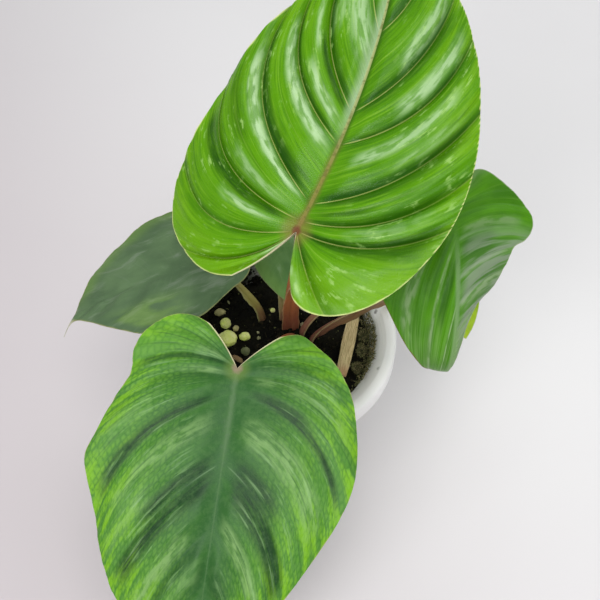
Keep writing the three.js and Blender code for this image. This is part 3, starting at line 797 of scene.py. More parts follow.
# %% The veins of the big blades
TOP_VEINS = [
    (0, (0.13, 0.22, 0.5), (0.12, 0.12, 0.5)),
    (0, (0.34, 0.5, 0.7), (0.385, 0.2, 0.5)),
    (5, (0.54, 0.55, 0.62), (0.475, 0.22, 0.5)),
    (14, (0.745, 0.45, 0.52), (0.58, 0.18, 0.5)),
    (44, (0.81, 0.4, 0.5), (0.71, 0.25, 0.5)),
    (60, (0.885, 0.32, 0.5), (0.81, 0.18, 0.5)),
    (100, (0.96, 0.2, 0.5), (0.92, 0.2, 0.5)),
]
FRONT_VEINS = [
    (0, (0.1, 0.15, 0.5), (0.12, 0.15, 0.5)),
    (0, (0.2, 0.25, 0.5), (0.235, 0.25, 0.5)),
    (5, (0.33, 0.3, 0.5), (0.34, 0.25, 0.5)),
    (14, (0.53, 0.37, 0.5), (0.6, 0.27, 0.5)),
    (48, (0.72, 0.25, 0.5), (0.73, 0.15, 0.5)),
    (80, (0.84, 0.2, 0.5), (0.85, 0.15, 0.5)),
    (112, (0.93, 0.15, 0.5), (0.93, 0.15, 0.5)),
]
RIGHT_VEINS = [
    (0, (0.16, 0.1, 0.5), (0.6, 0.26, 0.55)),
    (5, (0.25, 0.2, 0.5), (0.84, 0.24, 0.52)),
    (18, (0.33, 0.2, 0.5), (0.92, 0.15, 0.5)),
    (38, (0.41, 0.1, 0.5), (0.955, 0.1, 0.5)),
    (52, (0.5, 0.1, 0.5), (0.975, 0.08, 0.5)),
    (66, (0.66, 0.1, 0.5), (0.99, 0.06, 0.5)),
]

print("vein rows:", len(TOP_VEINS), len(FRONT_VEINS), len(RIGHT_VEINS))

# %% [markdown]
# Light catches one shoulder of each swelling and leaves the other in shade. Gloss alone is too even for
# that, so the paint helps: silvery bands and shaded ones run beside the veins. Each band says which half
# of the blade it is on, how many veins lie before it, its half width in veins, where it starts and stops
# on the way out from the midrib, and its strength, which is above nought for silver and below for shade.

# %% The silvery and shaded bands
TOP_BANDS = [
    (-1, 0.3, 0.3, 0.05, 0.45, 0.9), (-1, 2.55, 0.1, 0.12, 0.5, 0.8), (-1, 2.84, 0.14, 0.06, 1.0, -1.0),
    (-1, 3.3, 0.1, 0.1, 0.5, 0.5), (-1, 3.5, 0.14, 0.4, 0.95, -0.6), (-1, 3.84, 0.09, 0.06, 0.9, 1.0),
    (-1, 4.08, 0.17, 0.04, 1.0, -1.0), (-1, 4.82, 0.11, 0.06, 0.85, 1.0), (-1, 5.05, 0.1, 0.04, 0.9, -0.8),
    (-1, 5.42, 0.14, 0.05, 0.5, 0.9), (-1, 5.68, 0.08, 0.45, 0.9, 0.7), (-1, 5.83, 0.09, 0.04, 0.6, -1.0),
    (-1, 6.02, 0.1, 0.04, 0.9, -0.8), (-1, 6.65, 0.2, 0.05, 0.65, 0.8), (-1, 6.3, 0.2, 0.45, 0.95, 0.4),
    (1, 0.3, 0.25, 0.1, 0.5, 0.3), (1, 0.5, 0.2, 0.5, 0.95, 0.6), (1, 1.15, 0.15, 0.1, 0.5, -0.5),
    (1, 1.92, 0.12, 0.1, 1.0, -0.7), (1, 2.12, 0.14, 0.04, 1.0, -1.0), (1, 2.6, 0.2, 0.3, 0.9, 0.25),
    (1, 3.1, 0.1, 0.05, 0.9, -0.6), (1, 3.42, 0.1, 0.08, 0.5, -0.7), (1, 3.86, 0.12, 0.1, 1.0, -0.6),
    (1, 4.03, 0.1, 0.04, 1.0, -0.9), (1, 4.62, 0.12, 0.15, 0.9, 0.65), (1, 4.24, 0.09, 0.45, 0.95, 0.35),
    (1, 5.0, 0.08, 0.04, 1.0, -0.7), (1, 5.3, 0.17, 0.35, 0.97, 0.75), (1, 5.88, 0.12, 0.1, 0.95, -0.5),
    (1, 6.02, 0.1, 0.04, 0.95, -0.8), (1, 6.25, 0.15, 0.35, 0.97, 0.7), (1, 7.05, 0.09, 0.05, 0.9, -0.6),
]
FRONT_BANDS = [
    (-1, 1.0, 0.35, 0.08, 0.5, 0.5), (-1, 2.45, 0.25, 0.1, 1.0, -0.35), (-1, 3.2, 0.18, 0.1, 0.95, 0.5),
    (-1, 3.78, 0.17, 0.1, 0.6, -0.8), (-1, 3.93, 0.1, 0.2, 1.0, -1.0), (-1, 4.4, 0.17, 0.1, 0.95, 0.75),
    (-1, 4.9, 0.15, 0.1, 0.6, -0.9), (-1, 5.2, 0.24, 0.1, 1.0, -1.0), (-1, 5.85, 0.17, 0.1, 1.0, 0.85),
    (-1, 6.6, 0.25, 0.1, 0.7, -0.4),
    (1, 1.6, 0.3, 0.1, 0.5, 0.6), (1, 2.1, 0.14, 0.08, 1.0, -0.7), (1, 2.8, 0.17, 0.1, 0.5, 0.7),
    (1, 3.45, 0.18, 0.45, 1.0, 0.4), (1, 3.9, 0.12, 0.1, 1.0, -1.0), (1, 4.3, 0.13, 0.1, 0.9, 0.65),
    (1, 4.68, 0.14, 0.5, 1.0, 0.45), (1, 4.9, 0.12, 0.08, 0.7, -1.0), (1, 5.2, 0.2, 0.06, 1.0, -1.0),
    (1, 5.82, 0.16, 0.25, 1.0, 0.85), (1, 6.15, 0.14, 0.1, 0.9, -0.5), (1, 6.5, 0.18, 0.1, 0.8, 0.4),
]
RIGHT_BANDS = [
    (-1, 0.0, 0.45, 0.0, 1.2, 0.6), (-1, 1.5, 0.4, 0.1, 1.2, -0.2), (-1, 2.75, 0.2, 0.1, 0.9, 0.5),
    (-1, 3.35, 0.25, 0.06, 0.6, -0.7), (-1, 4.0, 0.2, 0.06, 1.2, 0.7), (-1, 4.45, 0.14, 0.4, 1.1, -0.5),
    (-1, 5.0, 0.35, 0.06, 1.2, 0.9), (-1, 6.0, 0.5, 0.06, 1.2, 0.8),
    (1, 1.65, 0.17, 0.1, 1.0, 0.7), (1, 2.35, 0.25, 0.1, 0.6, -0.4), (1, 2.9, 0.09, 0.06, 1.1, 0.8),
    (1, 3.4, 0.4, 0.06, 0.6, -0.8), (1, 4.86, 0.13, 0.06, 1.1, 0.9), (1, 5.4, 0.3, 0.1, 0.9, -0.5),
    (1, 6.5, 0.3, 0.1, 1.1, 0.6),
]

print("bands:", len(TOP_BANDS), len(FRONT_BANDS), len(RIGHT_BANDS))

# %% [markdown]
# The outlines are in millimetres on the flattened blade, from the sinus round to the tip, with the seat
# of the petiole at nought. The big blades are drawn point by point. The two small ones are plain hearts.

# %% The outlines of the six blades
LEAVES = {
    "top": Leaf(
        seat=(7.2, -20.5, 222), heading=38.1, bend=-32.1, pitch=(40, 20), length=160.2,
        roll=(0, 0), fold=(4, 4), curl=-12, veins=TOP_VEINS, quilt=3.4, ruffle=1.2,
        bands=TOP_BANDS,
        left=[(18, -37), (28, -43), (42, -45), (57, -43), (68, -36), (75, -18), (75, 6),
              (71, 36), (63, 68), (51, 96), (34, 122), (14, 144), (0, 160.2)],
        right=[(9, -19), (16, -26), (28, -27), (40, -21), (51, -9), (59, 7), (64, 30),
               (62, 54), (54, 80), (42, 106), (26, 132), (7, 153), (0, 160.2)],
    ),
    "front": Leaf(
        seat=(-23.8, -53.5, 152), heading=187.2, bend=5.4, pitch=(-15, -50), length=156.9,
        roll=(0, 0), fold=(3, 3), curl=-12, veins=FRONT_VEINS, quilt=2.6, ruffle=1.6, crease=0.45,
        bands=FRONT_BANDS,
        left=[(20, -19), (30, -21), (42, -14), (53, -4), (61, 9), (66, 30), (66, 50),
              (60, 71), (49, 93), (37, 114), (21, 137), (6, 152), (0, 156.9)],
        right=[(18, -23), (28, -27), (40, -25), (50, -17), (56, -4), (56, 9), (63, 24), (68, 42),
               (71, 56), (66, 74), (58, 98), (47, 120), (27, 141), (7, 154), (0, 156.9)],
    ),
    "left": Leaf(
        seat=(-36.8, 23.5, 150), heading=-108.9, bend=7.4, pitch=(0, -38.3), length=106,
        roll=(0, 0), fold=(0, 0), curl=-10, veins=even_veins(106), quilt=1.5, ruffle=0.8,
        hook=-8, crease=0.1,
        left=[(8, -12), (14, -13), (20, -8), (25, 0), (31, 11), (36, 23), (37, 38),
              (34, 52), (26, 64), (17, 76), (8, 87), (1.4, 97), (0, 106)],
        right=[(8, -13), (17, -16), (29, -12), (40, -1), (46, 14), (46, 28), (42, 43),
               (37, 56), (30, 69), (20, 81), (9, 91), (1.4, 98), (0, 106)],
    ),
    "right": Leaf(
        seat=(89.2, 18.5, 195), heading=176.3, bend=6.5, pitch=(-15, -88), length=108,
        roll=(0, 39.3), fold=(-8, -38.3), curl=-12, veins=RIGHT_VEINS, quilt=1.0, ruffle=0.8,
        hook=-4, tip_curl=-50, crease=0.5, bands=RIGHT_BANDS,
        left=[(8, -20), (19, -22), (33, -13), (45, -1), (48, 8), (44, 15), (37, 20), (34, 32),
              (31, 45), (20, 56), (11, 67), (7, 80), (6.5, 92), (4, 103), (0, 108)],
        right=[(7, -18), (18, -22), (31, -16), (41, -4), (46, 12), (45, 28), (42, 43),
               (37, 54), (29, 70), (21, 83), (14, 94), (6, 104), (0, 108)],
    ),
    "inner": Leaf(
        seat=(-4.9, 60, 131), heading=157, bend=0, pitch=(-20, -38), length=56,
        roll=(0, 0), fold=(2, 2), curl=-12, veins=even_veins(56), quilt=1.2, ruffle=0.5, crease=0.3,
        left=heart(23, 56), right=heart(23, 56),
    ),
    "young": Leaf(
        seat=(100, 37, 119), heading=165.6, bend=0, pitch=(-18, -34), length=44,
        roll=(0, 0), fold=(4, 4), curl=-10, veins=even_veins(44), quilt=1, ruffle=0.4, crease=0.3,
        left=heart(16, 44), right=heart(16, 44),
    ),
}
print("blades:", ", ".join(f"{name} with {leaf.spans - 1} side veins" for name, leaf in LEAVES.items()))

# %% [markdown]
# Three steps take a point from the flat to space. The midrib is walked in short steps, each a little
# turned. A point beside it goes out across an arc, because the blade folds and curls. Then its height is
# added square to the skin.

# %% Where a point of a blade lies


def directions(leaf, along):
    """Forward, across to the right, and out of the upper face, at a distance along the midrib."""
    share = along / leaf.length
    turn_share = np.clip(share, -0.3, 1.2)
    tip_share = np.maximum(0, (share - TIP_START) / (1 - TIP_START))
    heading = np.radians(leaf.heading + leaf.bend * turn_share)
    pitch = np.radians(ramp(leaf.pitch, np.maximum(0, share)) + leaf.tip_curl * tip_share ** 1.5)
    roll = np.radians(ramp(leaf.roll, turn_share))[:, None]
    flat = 0 * heading
    east, north = np.sin(heading), np.cos(heading)
    forward = np.stack([east * np.cos(pitch), north * np.cos(pitch), np.sin(pitch)], 1)
    across = np.stack([north, -east, flat], 1)
    out = np.stack([-east * np.sin(pitch), -north * np.sin(pitch), np.cos(pitch)], 1)
    rolled_across = across * np.cos(roll) + out * np.sin(roll)
    rolled_out = out * np.cos(roll) - across * np.sin(roll)
    return forward, rolled_across, rolled_out


def midrib_points(leaf, along):
    points = np.tile(leaf.seat, (len(along), 1))
    step = along / MIDRIB_STEPS
    for i in range(MIDRIB_STEPS):
        points += directions(leaf, (i + 0.5) * step)[0] * step[:, None]
    return points


def blade_points(leaf, flat_x, along, height):
    """Places in space of points of the flat blade, at a height over its middle surface."""
    hook_share = np.maximum(0, (along / leaf.length - HOOK_START) / (1 - HOOK_START))
    x = flat_x + leaf.hook * hook_share ** 2
    _, across, out = directions(leaf, along)
    fold = np.radians(ramp(leaf.fold, np.clip(along / leaf.length, 0, 1.2)))
    curl = math.radians(leaf.curl) / CURL_SPAN
    tilt = fold + curl * np.abs(x)
    reach = (np.sin(tilt) - np.sin(fold)) / curl
    rise = (np.cos(fold) - np.cos(tilt)) / curl
    sideways = np.sign(x) * (reach - height * np.sin(tilt))
    upwards = rise + height * np.cos(tilt)
    return midrib_points(leaf, along) + across * sideways[:, None] + out * upwards[:, None]


for name, leaf in LEAVES.items():
    tip = blade_points(leaf, np.zeros(1), np.full(1, leaf.length), np.zeros(1))[0]
    print(name, "leaf: its tip lies at", tip.round(1))

# %% [markdown]
# A vein is an arc with one handle, from the midrib to the margin. Between two veins of the table their
# ends and handles are mixed, so a vein count and a way along the vein give a place anywhere on the blade.

# %% Where a vein runs


def vein_points(leaf, side, count, way):
    """Flat places on the way out from the midrib, where count is how many veins lie before them."""
    table = leaf.rows[side]
    start, share, bow, lean = (np.interp(count, np.arange(len(table)), column) for column in table.T)
    origin = np.stack([0 * start, start], 1)
    curve, lengths = leaf.margins[side]
    end = np.stack([np.interp(share, lengths, curve[:, axis]) for axis in (0, 1)], 1)
    chord = end - origin
    aside = np.stack([chord[:, 1], -chord[:, 0]], 1)
    handle = origin + chord * lean[:, None] + aside * bow[:, None]
    way = way[:, None]
    return origin * (1 - way) ** 2 + handle * 2 * way * (1 - way) + end * way ** 2, share


third_end = vein_points(LEAVES["top"], 1, np.full(1, 3.0), np.ones(1))[0][0]
print("the top leaf's third vein ends at", third_end.round(1), "in the flat")


# %% [markdown]
# Four small things shape the skin: some pillows swell a little more than others, veins lie in narrow
# dents, fine wrinkles follow the veins, and the margin ruffles a little. Each has its own formula.

# %% Dents, wrinkles and ruffles
RUFFLES_PER_VEIN = 0.4
RIPPLE_SHARE = 0.12


def unevenness(leaf, side, count):
    """Some pillows swell a little more than others."""
    draw = random.Random(f"{side} {leaf.length}")
    strengths = np.array([draw.uniform(0.85, 1.15) for _ in range(leaf.spans + 1)])
    return np.interp(count - 0.5, np.arange(leaf.spans + 1), strengths)


def dent(gap, depth, width):
    return depth * np.exp(-((gap / width) ** 2))


def wrinkles(count, way):
    coarse = np.sin(2 * np.pi * (count * 2.7 + 0.5 * np.sin(3.1 * way + count)))
    fine = np.sin(2 * np.pi * (count * 4.6 - 0.7 * way * way))
    return coarse * smoothstep(way, 0.1, 0.3) + 0.7 * fine * smoothstep(way, 0.2, 0.45)


def ruffles(leaf, side, share, way):
    turn = 2 * np.pi * RUFFLES_PER_VEIN * leaf.spans * share
    ripple = RIPPLE_SHARE * way ** 6 * np.sin(3.3 * turn + 2 * side)
    return leaf.ruffle * (way ** 3 * np.sin(turn + leaf.heading) + ripple)


print("a dent as deep as 1 is", round(float(dent(1.0, 1, 1)), 2), "deep at its own width from the middle")

# %% [markdown]
# The swelling between two veins is a rounded arch with a sharp valley at each end, where the vein lies.
# Where two veins run close together there is little room, so the skin between them swells less. On the
# older blades the valleys are soft folds: a leaf's `crease` says how sharp they are.

# %% The relief of a blade
PILLOW_POWER = 2.4
VALLEY_DEPTH, VALLEY_WIDTH = 0.3, 0.8
GROOVE_DEPTH, GROOVE_WIDTH = 0.14, 1.2
WRINKLE_DEPTH = 0.05
MARGIN_LOSS = 0.55


def relief_of(leaf, side, count, way, gaps):
    """Height of the skin over the smooth blade, where count is how many veins lie before the point."""
    share = vein_points(leaf, side, count, way)[1]
    before = np.minimum(np.floor(count + VEIN_SLACK), leaf.spans - 1)
    veins = [vein_points(leaf, side, before + step, way)[0] for step in (0, 1)]
    room = np.minimum(1, np.linalg.norm(veins[1] - veins[0], axis=1) / SWELL_SPAN)
    between = (count + VEIN_SLACK) % 1
    wave = np.sin(np.pi * between) ** 2
    pillow = 1 - np.abs(2 * between - 1) ** PILLOW_POWER
    swell = ramp((wave, pillow), leaf.crease) * unevenness(leaf, side, count) * room
    swell *= smoothstep(way, 0, 0.16) * (1 - MARGIN_LOSS * smoothstep(way, 0.7, 1))
    valley = dent(gaps["vein_gap"], VALLEY_DEPTH, VALLEY_WIDTH) * smoothstep(way, 0.04, 0.2)
    groove = dent(gaps["side_gap"], GROOVE_DEPTH, GROOVE_WIDTH) * smoothstep(way, 0.2, 0.4)
    hollows = leaf.crease * (valley + groove) - WRINKLE_DEPTH * leaf.quilt * wrinkles(count, way)
    ends = smoothstep(share, 0, 0.06) * smoothstep(1 - share, 0, 0.1)
    return (leaf.quilt * swell - hollows * room + ruffles(leaf, side, share, way)) * ends


print("a vein's valley is", dent(np.zeros(1), VALLEY_DEPTH, VALLEY_WIDTH)[0], "mm deep at most")

# %% [markdown]
# The paint needs marks too. Bands fade in and out along the way and stop at the veins that hold them.
# The distances to a vein are measured square to it, in the flat, and those to the margin from its curve.

# %% The marks that the paint will read
FAR_APART = 400


def bands_of(leaf, side, count, way):
    """How silvery and how shaded each point is, by the leaf's table of bands."""
    silver, shade = np.zeros(len(count)), np.zeros(len(count))
    for half, centre, width, start, stop, strength in leaf.bands:
        if half == side:
            reached = smoothstep(way, start - 0.05, start + 0.08) * (1 - smoothstep(way, stop - 0.2, stop))
            vein = np.floor(centre)
            past_vein = smoothstep(count, vein - 0.06, vein + 0.05)
            kept = past_vein * (1 - smoothstep(count, vein + 0.95, vein + 1.06))
            band = silver if strength > 0 else shade
            band += abs(strength) * reached * kept * np.exp(-np.abs((count - centre) / width) ** 3)
    return np.minimum(silver, 1), np.minimum(shade, 1)


def distances(leaf, side, flat, rows, columns):
    """Millimetres from every grid point to the nearest vein, finer vein, midrib and margin."""
    grid = flat.reshape(rows + 1, columns + 1, 2)
    along_vein = np.gradient(grid, axis=1)
    along_vein /= np.linalg.norm(along_vein, axis=2, keepdims=True) + 1e-9
    per_vein = rows // leaf.spans
    row = np.arange(rows + 1)
    nearest = {
        "vein_gap": np.rint(row / per_vein).astype(int) * per_vein,
        "side_gap": np.clip(row // per_vein, 0, leaf.spans - 1) * per_vein + per_vein // 2,
    }
    found = {}
    for name, target in nearest.items():
        apart = grid - grid[target]
        tangent = along_vein[target]
        found[name] = np.abs(apart[..., 0] * tangent[..., 1] - apart[..., 1] * tangent[..., 0]).ravel()
    curve = leaf.margins[side][0][::3]
    found["margin_gap"] = np.linalg.norm(flat[:, None, :] - curve[None, :, :], axis=2).min(axis=1)
    found["midrib_gap"] = np.abs(flat[:, 0])
    reach = np.cumsum(np.linalg.norm(np.diff(grid, axis=1, prepend=grid[:, :1]), axis=2), axis=1)
    halfway = grid[:, columns // 2]
    strand = np.concatenate([[0], np.cumsum(np.linalg.norm(np.diff(halfway, axis=0), axis=1))])
    found["reach"] = reach.ravel()
    found["strand"] = np.repeat(strand + FAR_APART * (side > 0), columns + 1)
    return found


print("strongest band on the top leaf:", max(abs(band[5]) for band in TOP_BANDS))

# %% [markdown]
# A half starts as a grid of unit size. Its rows become vein counts, its columns the way along a vein.
# All marks are noted on its points first, because joining, merging and thickening carry them along.

# %% Grow one half of a blade from a grid
FINENESS = {
    "top": (22, 44), "front": (22, 44), "left": (16, 32),
    "right": (20, 34), "inner": (12, 22), "young": (12, 22),
}


def half_blade(leaf, name, side, rows, columns):
    bpy.ops.object.select_all(action="DESELECT")
    bpy.ops.mesh.primitive_grid_add(x_subdivisions=rows, y_subdivisions=columns, size=1, calc_uvs=True)
    half = named(f"{name}_{side}")
    grid = points_of(half)
    order = np.lexsort((grid[:, 1], grid[:, 0]))
    count = np.rint((grid[:, 0] + 0.5) * rows) / rows * leaf.spans
    way = np.rint((grid[:, 1] + 0.5) * columns) / columns
    flat = vein_points(leaf, side, count, way)[0]
    in_rows = distances(leaf, side, flat[order], rows, columns)
    gaps = {key: np.empty(len(order)) for key in in_rows}
    for key, values in in_rows.items():
        gaps[key][order] = values
    notes = {**gaps, "count": count, "way": way, "flat_x": side * flat[:, 0], "flat_y": flat[:, 1]}
    notes["relief"] = relief_of(leaf, side, count, way, gaps)
    notes["silver"], notes["shade"] = bands_of(leaf, side, count, way)
    for key, values in notes.items():
        note_on_points(half, key, values)
    move_points(half, blade_points(leaf, side * flat[:, 0], flat[:, 1], notes["relief"]) * MM)
    if side < 0:
        open_for_editing(half)
        bpy.ops.mesh.flip_normals()
        close_editing()
    return half


print("the top leaf's grid has", FINENESS["top"][0] * LEAVES["top"].spans, "rows to a half")


# %% [markdown]
# The halves are joined and merged along the midrib, and Solidify gives the skin a back and a rim. Real
# blades thin out to their margin and carry a keel under the midrib and ribs under the veins, so the
# heights of both faces are then set anew from the marks.

# %% Join the halves and thicken them
MARGIN_TAPER = 2.5
MARGIN_SHARE = 0.4
RIB_HEIGHT, RIB_WIDTH = 0.35, 0.8
MERGE_DISTANCE = 2e-6


def joined(pieces, name):
    only(pieces[0])
    for piece in pieces[1:]:
        piece.select_set(True)
    bpy.ops.object.join()
    return named(name)


def whole_blade(name, leaf, rows_per_vein, columns):
    rows = leaf.spans * rows_per_vein
    halves = [half_blade(leaf, name, side, rows, columns) for side in (1, -1)]
    blade = joined(halves, f"blade_{name}")
    open_for_editing(blade)
    bpy.ops.mesh.remove_doubles(threshold=MERGE_DISTANCE)
    close_editing()
    upper = len(blade.data.vertices)
    apply_modifier(
        blade, "SOLIDIFY", thickness=BLADE_THICKNESS * MM, offset=-1, use_rim=True,
        material_offset=1, material_offset_rim=2,
    )
    marks = ("way", "flat_x", "flat_y", "relief", "margin_gap", "vein_gap")
    way, x, along, relief, to_margin, to_vein = (read_points(blade, mark) for mark in marks)
    thinning = MARGIN_SHARE + (1 - MARGIN_SHARE) * smoothstep(to_margin, 0, MARGIN_TAPER)
    half_thickness = BLADE_THICKNESS / 2 * thinning
    keel = KEEL * (1 - way) ** 12 * (1 - 0.7 * np.maximum(0, along / leaf.length))
    rib = dent(to_vein, RIB_HEIGHT, RIB_WIDTH) * (1 - way) ** 0.7 * smoothstep(way, 0, 0.06)
    height = relief + half_thickness
    height[upper:] = (relief - half_thickness - keel - rib)[upper:]
    move_points(blade, blade_points(leaf, x, along, height) * MM)
    smooth_shaded(blade, 60)
    print(blade.name, "points on its upper face:", upper, "of", len(way))
    return blade


print("a blade is", BLADE_THICKNESS, "mm thick, and less near its margin")

# %% [markdown]
# ## Leaf paint
# The upper face is painted in layers. The marks that the points carry are read first. Then come the
# greens that clouds mix, streaks that run with the veins, the shaded and silvery bands, mottles, the
# thin lines of the veins, the midrib, the seat of the petiole and the margin. Every layer is a mask and a
# colour, and `lay` puts it over what is there.

# %% What a leaf's paint reads from the points
MARKS = (
    "count", "way", "vein_gap", "side_gap", "midrib_gap", "margin_gap",
    "strand", "reach", "flat_x", "flat_y", "silver", "shade",
)


class LeafPaint(Paint):
    def __init__(self, name):
        super().__init__(name)
        self.here = self.place()
        self.marks = {mark: self.noted(mark) for mark in MARKS}
        self.between = self.node("ShaderNodeMath", {"operation": "FRACT"}, {0: self.marks["count"] + 1e-4})
        self.clouds = self.cloud(self.here, 34, 3)
        self.grains = self.cloud(self.here, 260, 4, 0.7)
        self.colour = (0, 0, 0)

    def with_veins(self, across, along, detail=3.0, roughness=0.6, distortion=0.0):
        """Clouds drawn out along the veins: so many millimetres across them and along them."""
        parts = {0: self.marks["strand"] / across, 1: self.marks["reach"] / along}
        stretched = self.node("ShaderNodeCombineXYZ", sockets=parts)
        return self.cloud(stretched, 1.0, detail, roughness, distortion)

    def lay(self, share, colour):
        self.colour = self.blend(share, self.colour, colour)

    def past(self, mark, low, high):
        return self.smooth(self.marks[mark], low, high)

    def bands(self, silver, shade, silver_share=0.8, shade_share=0.85):
        """The bands of painted shade and painted silvery reflection, broken up by streaks and grains."""
        patches = self.with_veins(3.6, 10, 1, 0.4) * 0.6 + self.with_veins(0.9, 14) * 0.25
        broken = self.smooth(patches + self.grains * 0.15, 0.42, 0.56, 0.25, 1.0)
        shade_breakup = self.smooth(self.with_veins(2.2, 18), 0.3, 0.6, 0.55, 1.0)
        # Painted shade in the shaded bands, painted silvery reflection in the silvery ones.
        self.lay(self.marks["shade"] * shade_breakup * shade_share, shade)
        self.lay(self.marks["silver"] * broken * silver_share, silver)

    def vein_lines(self, width, share, colour):
        near = self.smooth(self.marks["vein_gap"] / width, 1.0, 0.4) * self.past("way", 0.01, 0.06)
        kept = self.smooth(self.marks["way"], 0.15, 0.8, 1.0, 0.3)
        self.lay(near * kept * self.past("count", 0.5, 0.8) * share, colour)

    def seat_spot(self, leaf, size, colour, share=0.9):
        seat = tuple(float(value) * MM for value in leaf.seat)
        ends = {0: self.here, 1: seat}
        away = self.node("ShaderNodeVectorMath", {"operation": "DISTANCE"}, ends, output="Value")
        spot = self.smooth(away + (self.grains - 0.5) * 0.003, size * MM, size * 0.35 * MM)
        self.lay(spot * share, colour)

    def edge(self, width, share, colour):
        self.lay(self.smooth(self.marks["margin_gap"], width, width * 0.4) * share, colour)

    def sinus_edge(self, width, share, colour):
        """The pale rim of the notch: it follows the first vein row, from the seat to the lobe's end."""
        rim = self.smooth(self.marks["vein_gap"], width, width * 0.4) * self.past("count", 0.5, 0.4)
        self.lay(rim * share, colour)

    def shine(self, low, high, rough=0.1, level=0.4):
        """The gloss: broken by grains, with skin cells the size of pinpricks."""
        skin = self.cells(self.here, 1500)
        fibres = self.with_veins(0.5, 14)
        height = skin * -0.05 + fibres * 0.05 + self.grains * rough
        return self.finished(
            Base_Color=self.colour,
            Roughness=self.smooth(self.grains, 0.35, 0.65, low, high),
            Normal=self.relief(height, 0.001),
            Specular_IOR_Level=level,
        )


print("marks on every blade:", ", ".join(MARKS))

# %% [markdown]
# The top leaf is the youngest big one: yellow-green, glossy and tightly quilted. On the tip side of
# each vein the skin dips, and painted shade darkens that dip. Its midrib is brown and fuzzy low down and
# pale further up, with a sheen on its left and a shaded line on its right. A pale rim runs round the
# margin and the notch.

# %% Paint for the top leaf
RED_BROWN = (0.13, 0.045, 0.02)
MIDRIB_HALF_WIDTHS = (1.3, 0.8)


def top_leaf_paint(name, leaf):
    paint = LeafPaint(name)
    way, between, x = paint.marks["way"], paint.between, paint.marks["flat_x"]
    midrib_gap, y = paint.marks["midrib_gap"], paint.marks["flat_y"]
    broad = paint.with_veins(9, 40)
    streaks = paint.with_veins(1.3, 26)
    hairs = paint.with_veins(0.45, 16)
    # Painted light: the crest of each swelling is mixed a little lighter.
    lit_crest = 1 - (between * 2 - 1) ** 2
    varied = lit_crest * 0.3 + paint.clouds * 0.5 + broad * 0.35 + paint.smooth(x, 8, -8) * 0.1
    mixed = paint.smooth(varied, 0.35, 0.85)
    paint.colour = paint.blend(mixed, (0.029, 0.133, 0.0004), (0.080, 0.252, 0.0004))
    lobes = paint.smooth(paint.marks["count"], 2.3, 0.9) * paint.past("way", 0.25, 0.6)
    paint.lay(lobes * 0.55, (0.145, 0.345, 0.003))
    outer = paint.past("way", 0.5, 0.97) * paint.smooth(broad, 0.4, 0.62)
    paint.lay(outer * 0.45, (0.165, 0.370, 0.004))
    streaked = 1 - lobes * 0.6
    paint.lay(paint.smooth(streaks, 0.5, 0.7) * streaked * 0.4, (0.180, 0.390, 0.018))
    paint.lay(paint.smooth(streaks, 0.5, 0.3) * streaked * 0.5, (0.028, 0.120, 0.001))
    paint.lay(paint.smooth(hairs, 0.55, 0.75) * 0.2, (0.260, 0.480, 0.080))
    # Painted shade in the crease just past each vein.
    crease_shade = paint.smooth(between, 0.16, 0.01) * paint.past("way", 0.04, 0.2)
    paint.lay(crease_shade * paint.past("count", 0.8, 1.1) * 0.5, (0.014, 0.080, 0.001))
    paint.bands((0.420, 0.600, 0.330), (0.008, 0.052, 0.0005), 0.85, 0.9)
    patches = paint.with_veins(3.2, 8, 2, 0.5) * 0.5 + hairs * 0.25 + paint.grains * 0.25
    mottle = paint.smooth(patches, 0.53, 0.6) * paint.smooth(paint.with_veins(14, 22), 0.45, 0.6)
    paint.lay(mottle * paint.past("way", 0.15, 0.45) * 0.55, (0.330, 0.540, 0.150))
    fine = paint.smooth(paint.marks["side_gap"], 0.35, 0.12) * paint.smooth(way, 0.9, 0.4)
    paint.lay(fine * 0.2, (0.25, 0.42, 0.06))
    paint.vein_lines(0.36, 0.65, (0.36, 0.42, 0.12))
    fuzz = paint.smooth(midrib_gap + paint.grains * 1.6 - 0.8, 3.4, 0.4) * paint.smooth(y, 62, 34)
    paint.lay(fuzz * 0.75, (0.120, 0.130, 0.020))
    at_left = paint.smooth(x, 0.1, -0.3) * paint.smooth(midrib_gap + paint.clouds * 3, 7, 2.2)
    sheen = at_left * paint.smooth(y, 40, 66) * paint.smooth(hairs, 0.3, 0.6, 0.6, 1.0)
    paint.lay(sheen * 0.6, (0.40, 0.52, 0.34))
    at_right = paint.smooth(x, -0.2, 0.2) * paint.smooth(midrib_gap, 3.2, 0.8)
    paint.lay(at_right * paint.smooth(y, 30, 60) * 0.7, (0.016, 0.060, 0.002))
    rib_width = paint.smooth(y, 0, 110, *MIDRIB_HALF_WIDTHS)
    rib = paint.smooth(midrib_gap / rib_width, 1.0, 0.5)
    rib_colour = paint.blend(paint.smooth(y, 25, 75), (0.210, 0.190, 0.045), (0.34, 0.37, 0.15))
    speckled = paint.blend(paint.smooth(paint.grains, 0.48, 0.6) * 0.6, rib_colour, (0.10, 0.09, 0.02))
    paint.lay(rib * 0.8, speckled)
    paint.seat_spot(leaf, 11, (0.20, 0.13, 0.04), 0.5)
    paint.seat_spot(leaf, 3.4, RED_BROWN)
    paint.edge(0.9, 0.9, (0.52, 0.58, 0.22))
    paint.sinus_edge(0.7, 0.85, (0.62, 0.58, 0.38))
    return paint.shine(0.22, 0.36, level=0.14)


print("the top leaf's paint is ready")
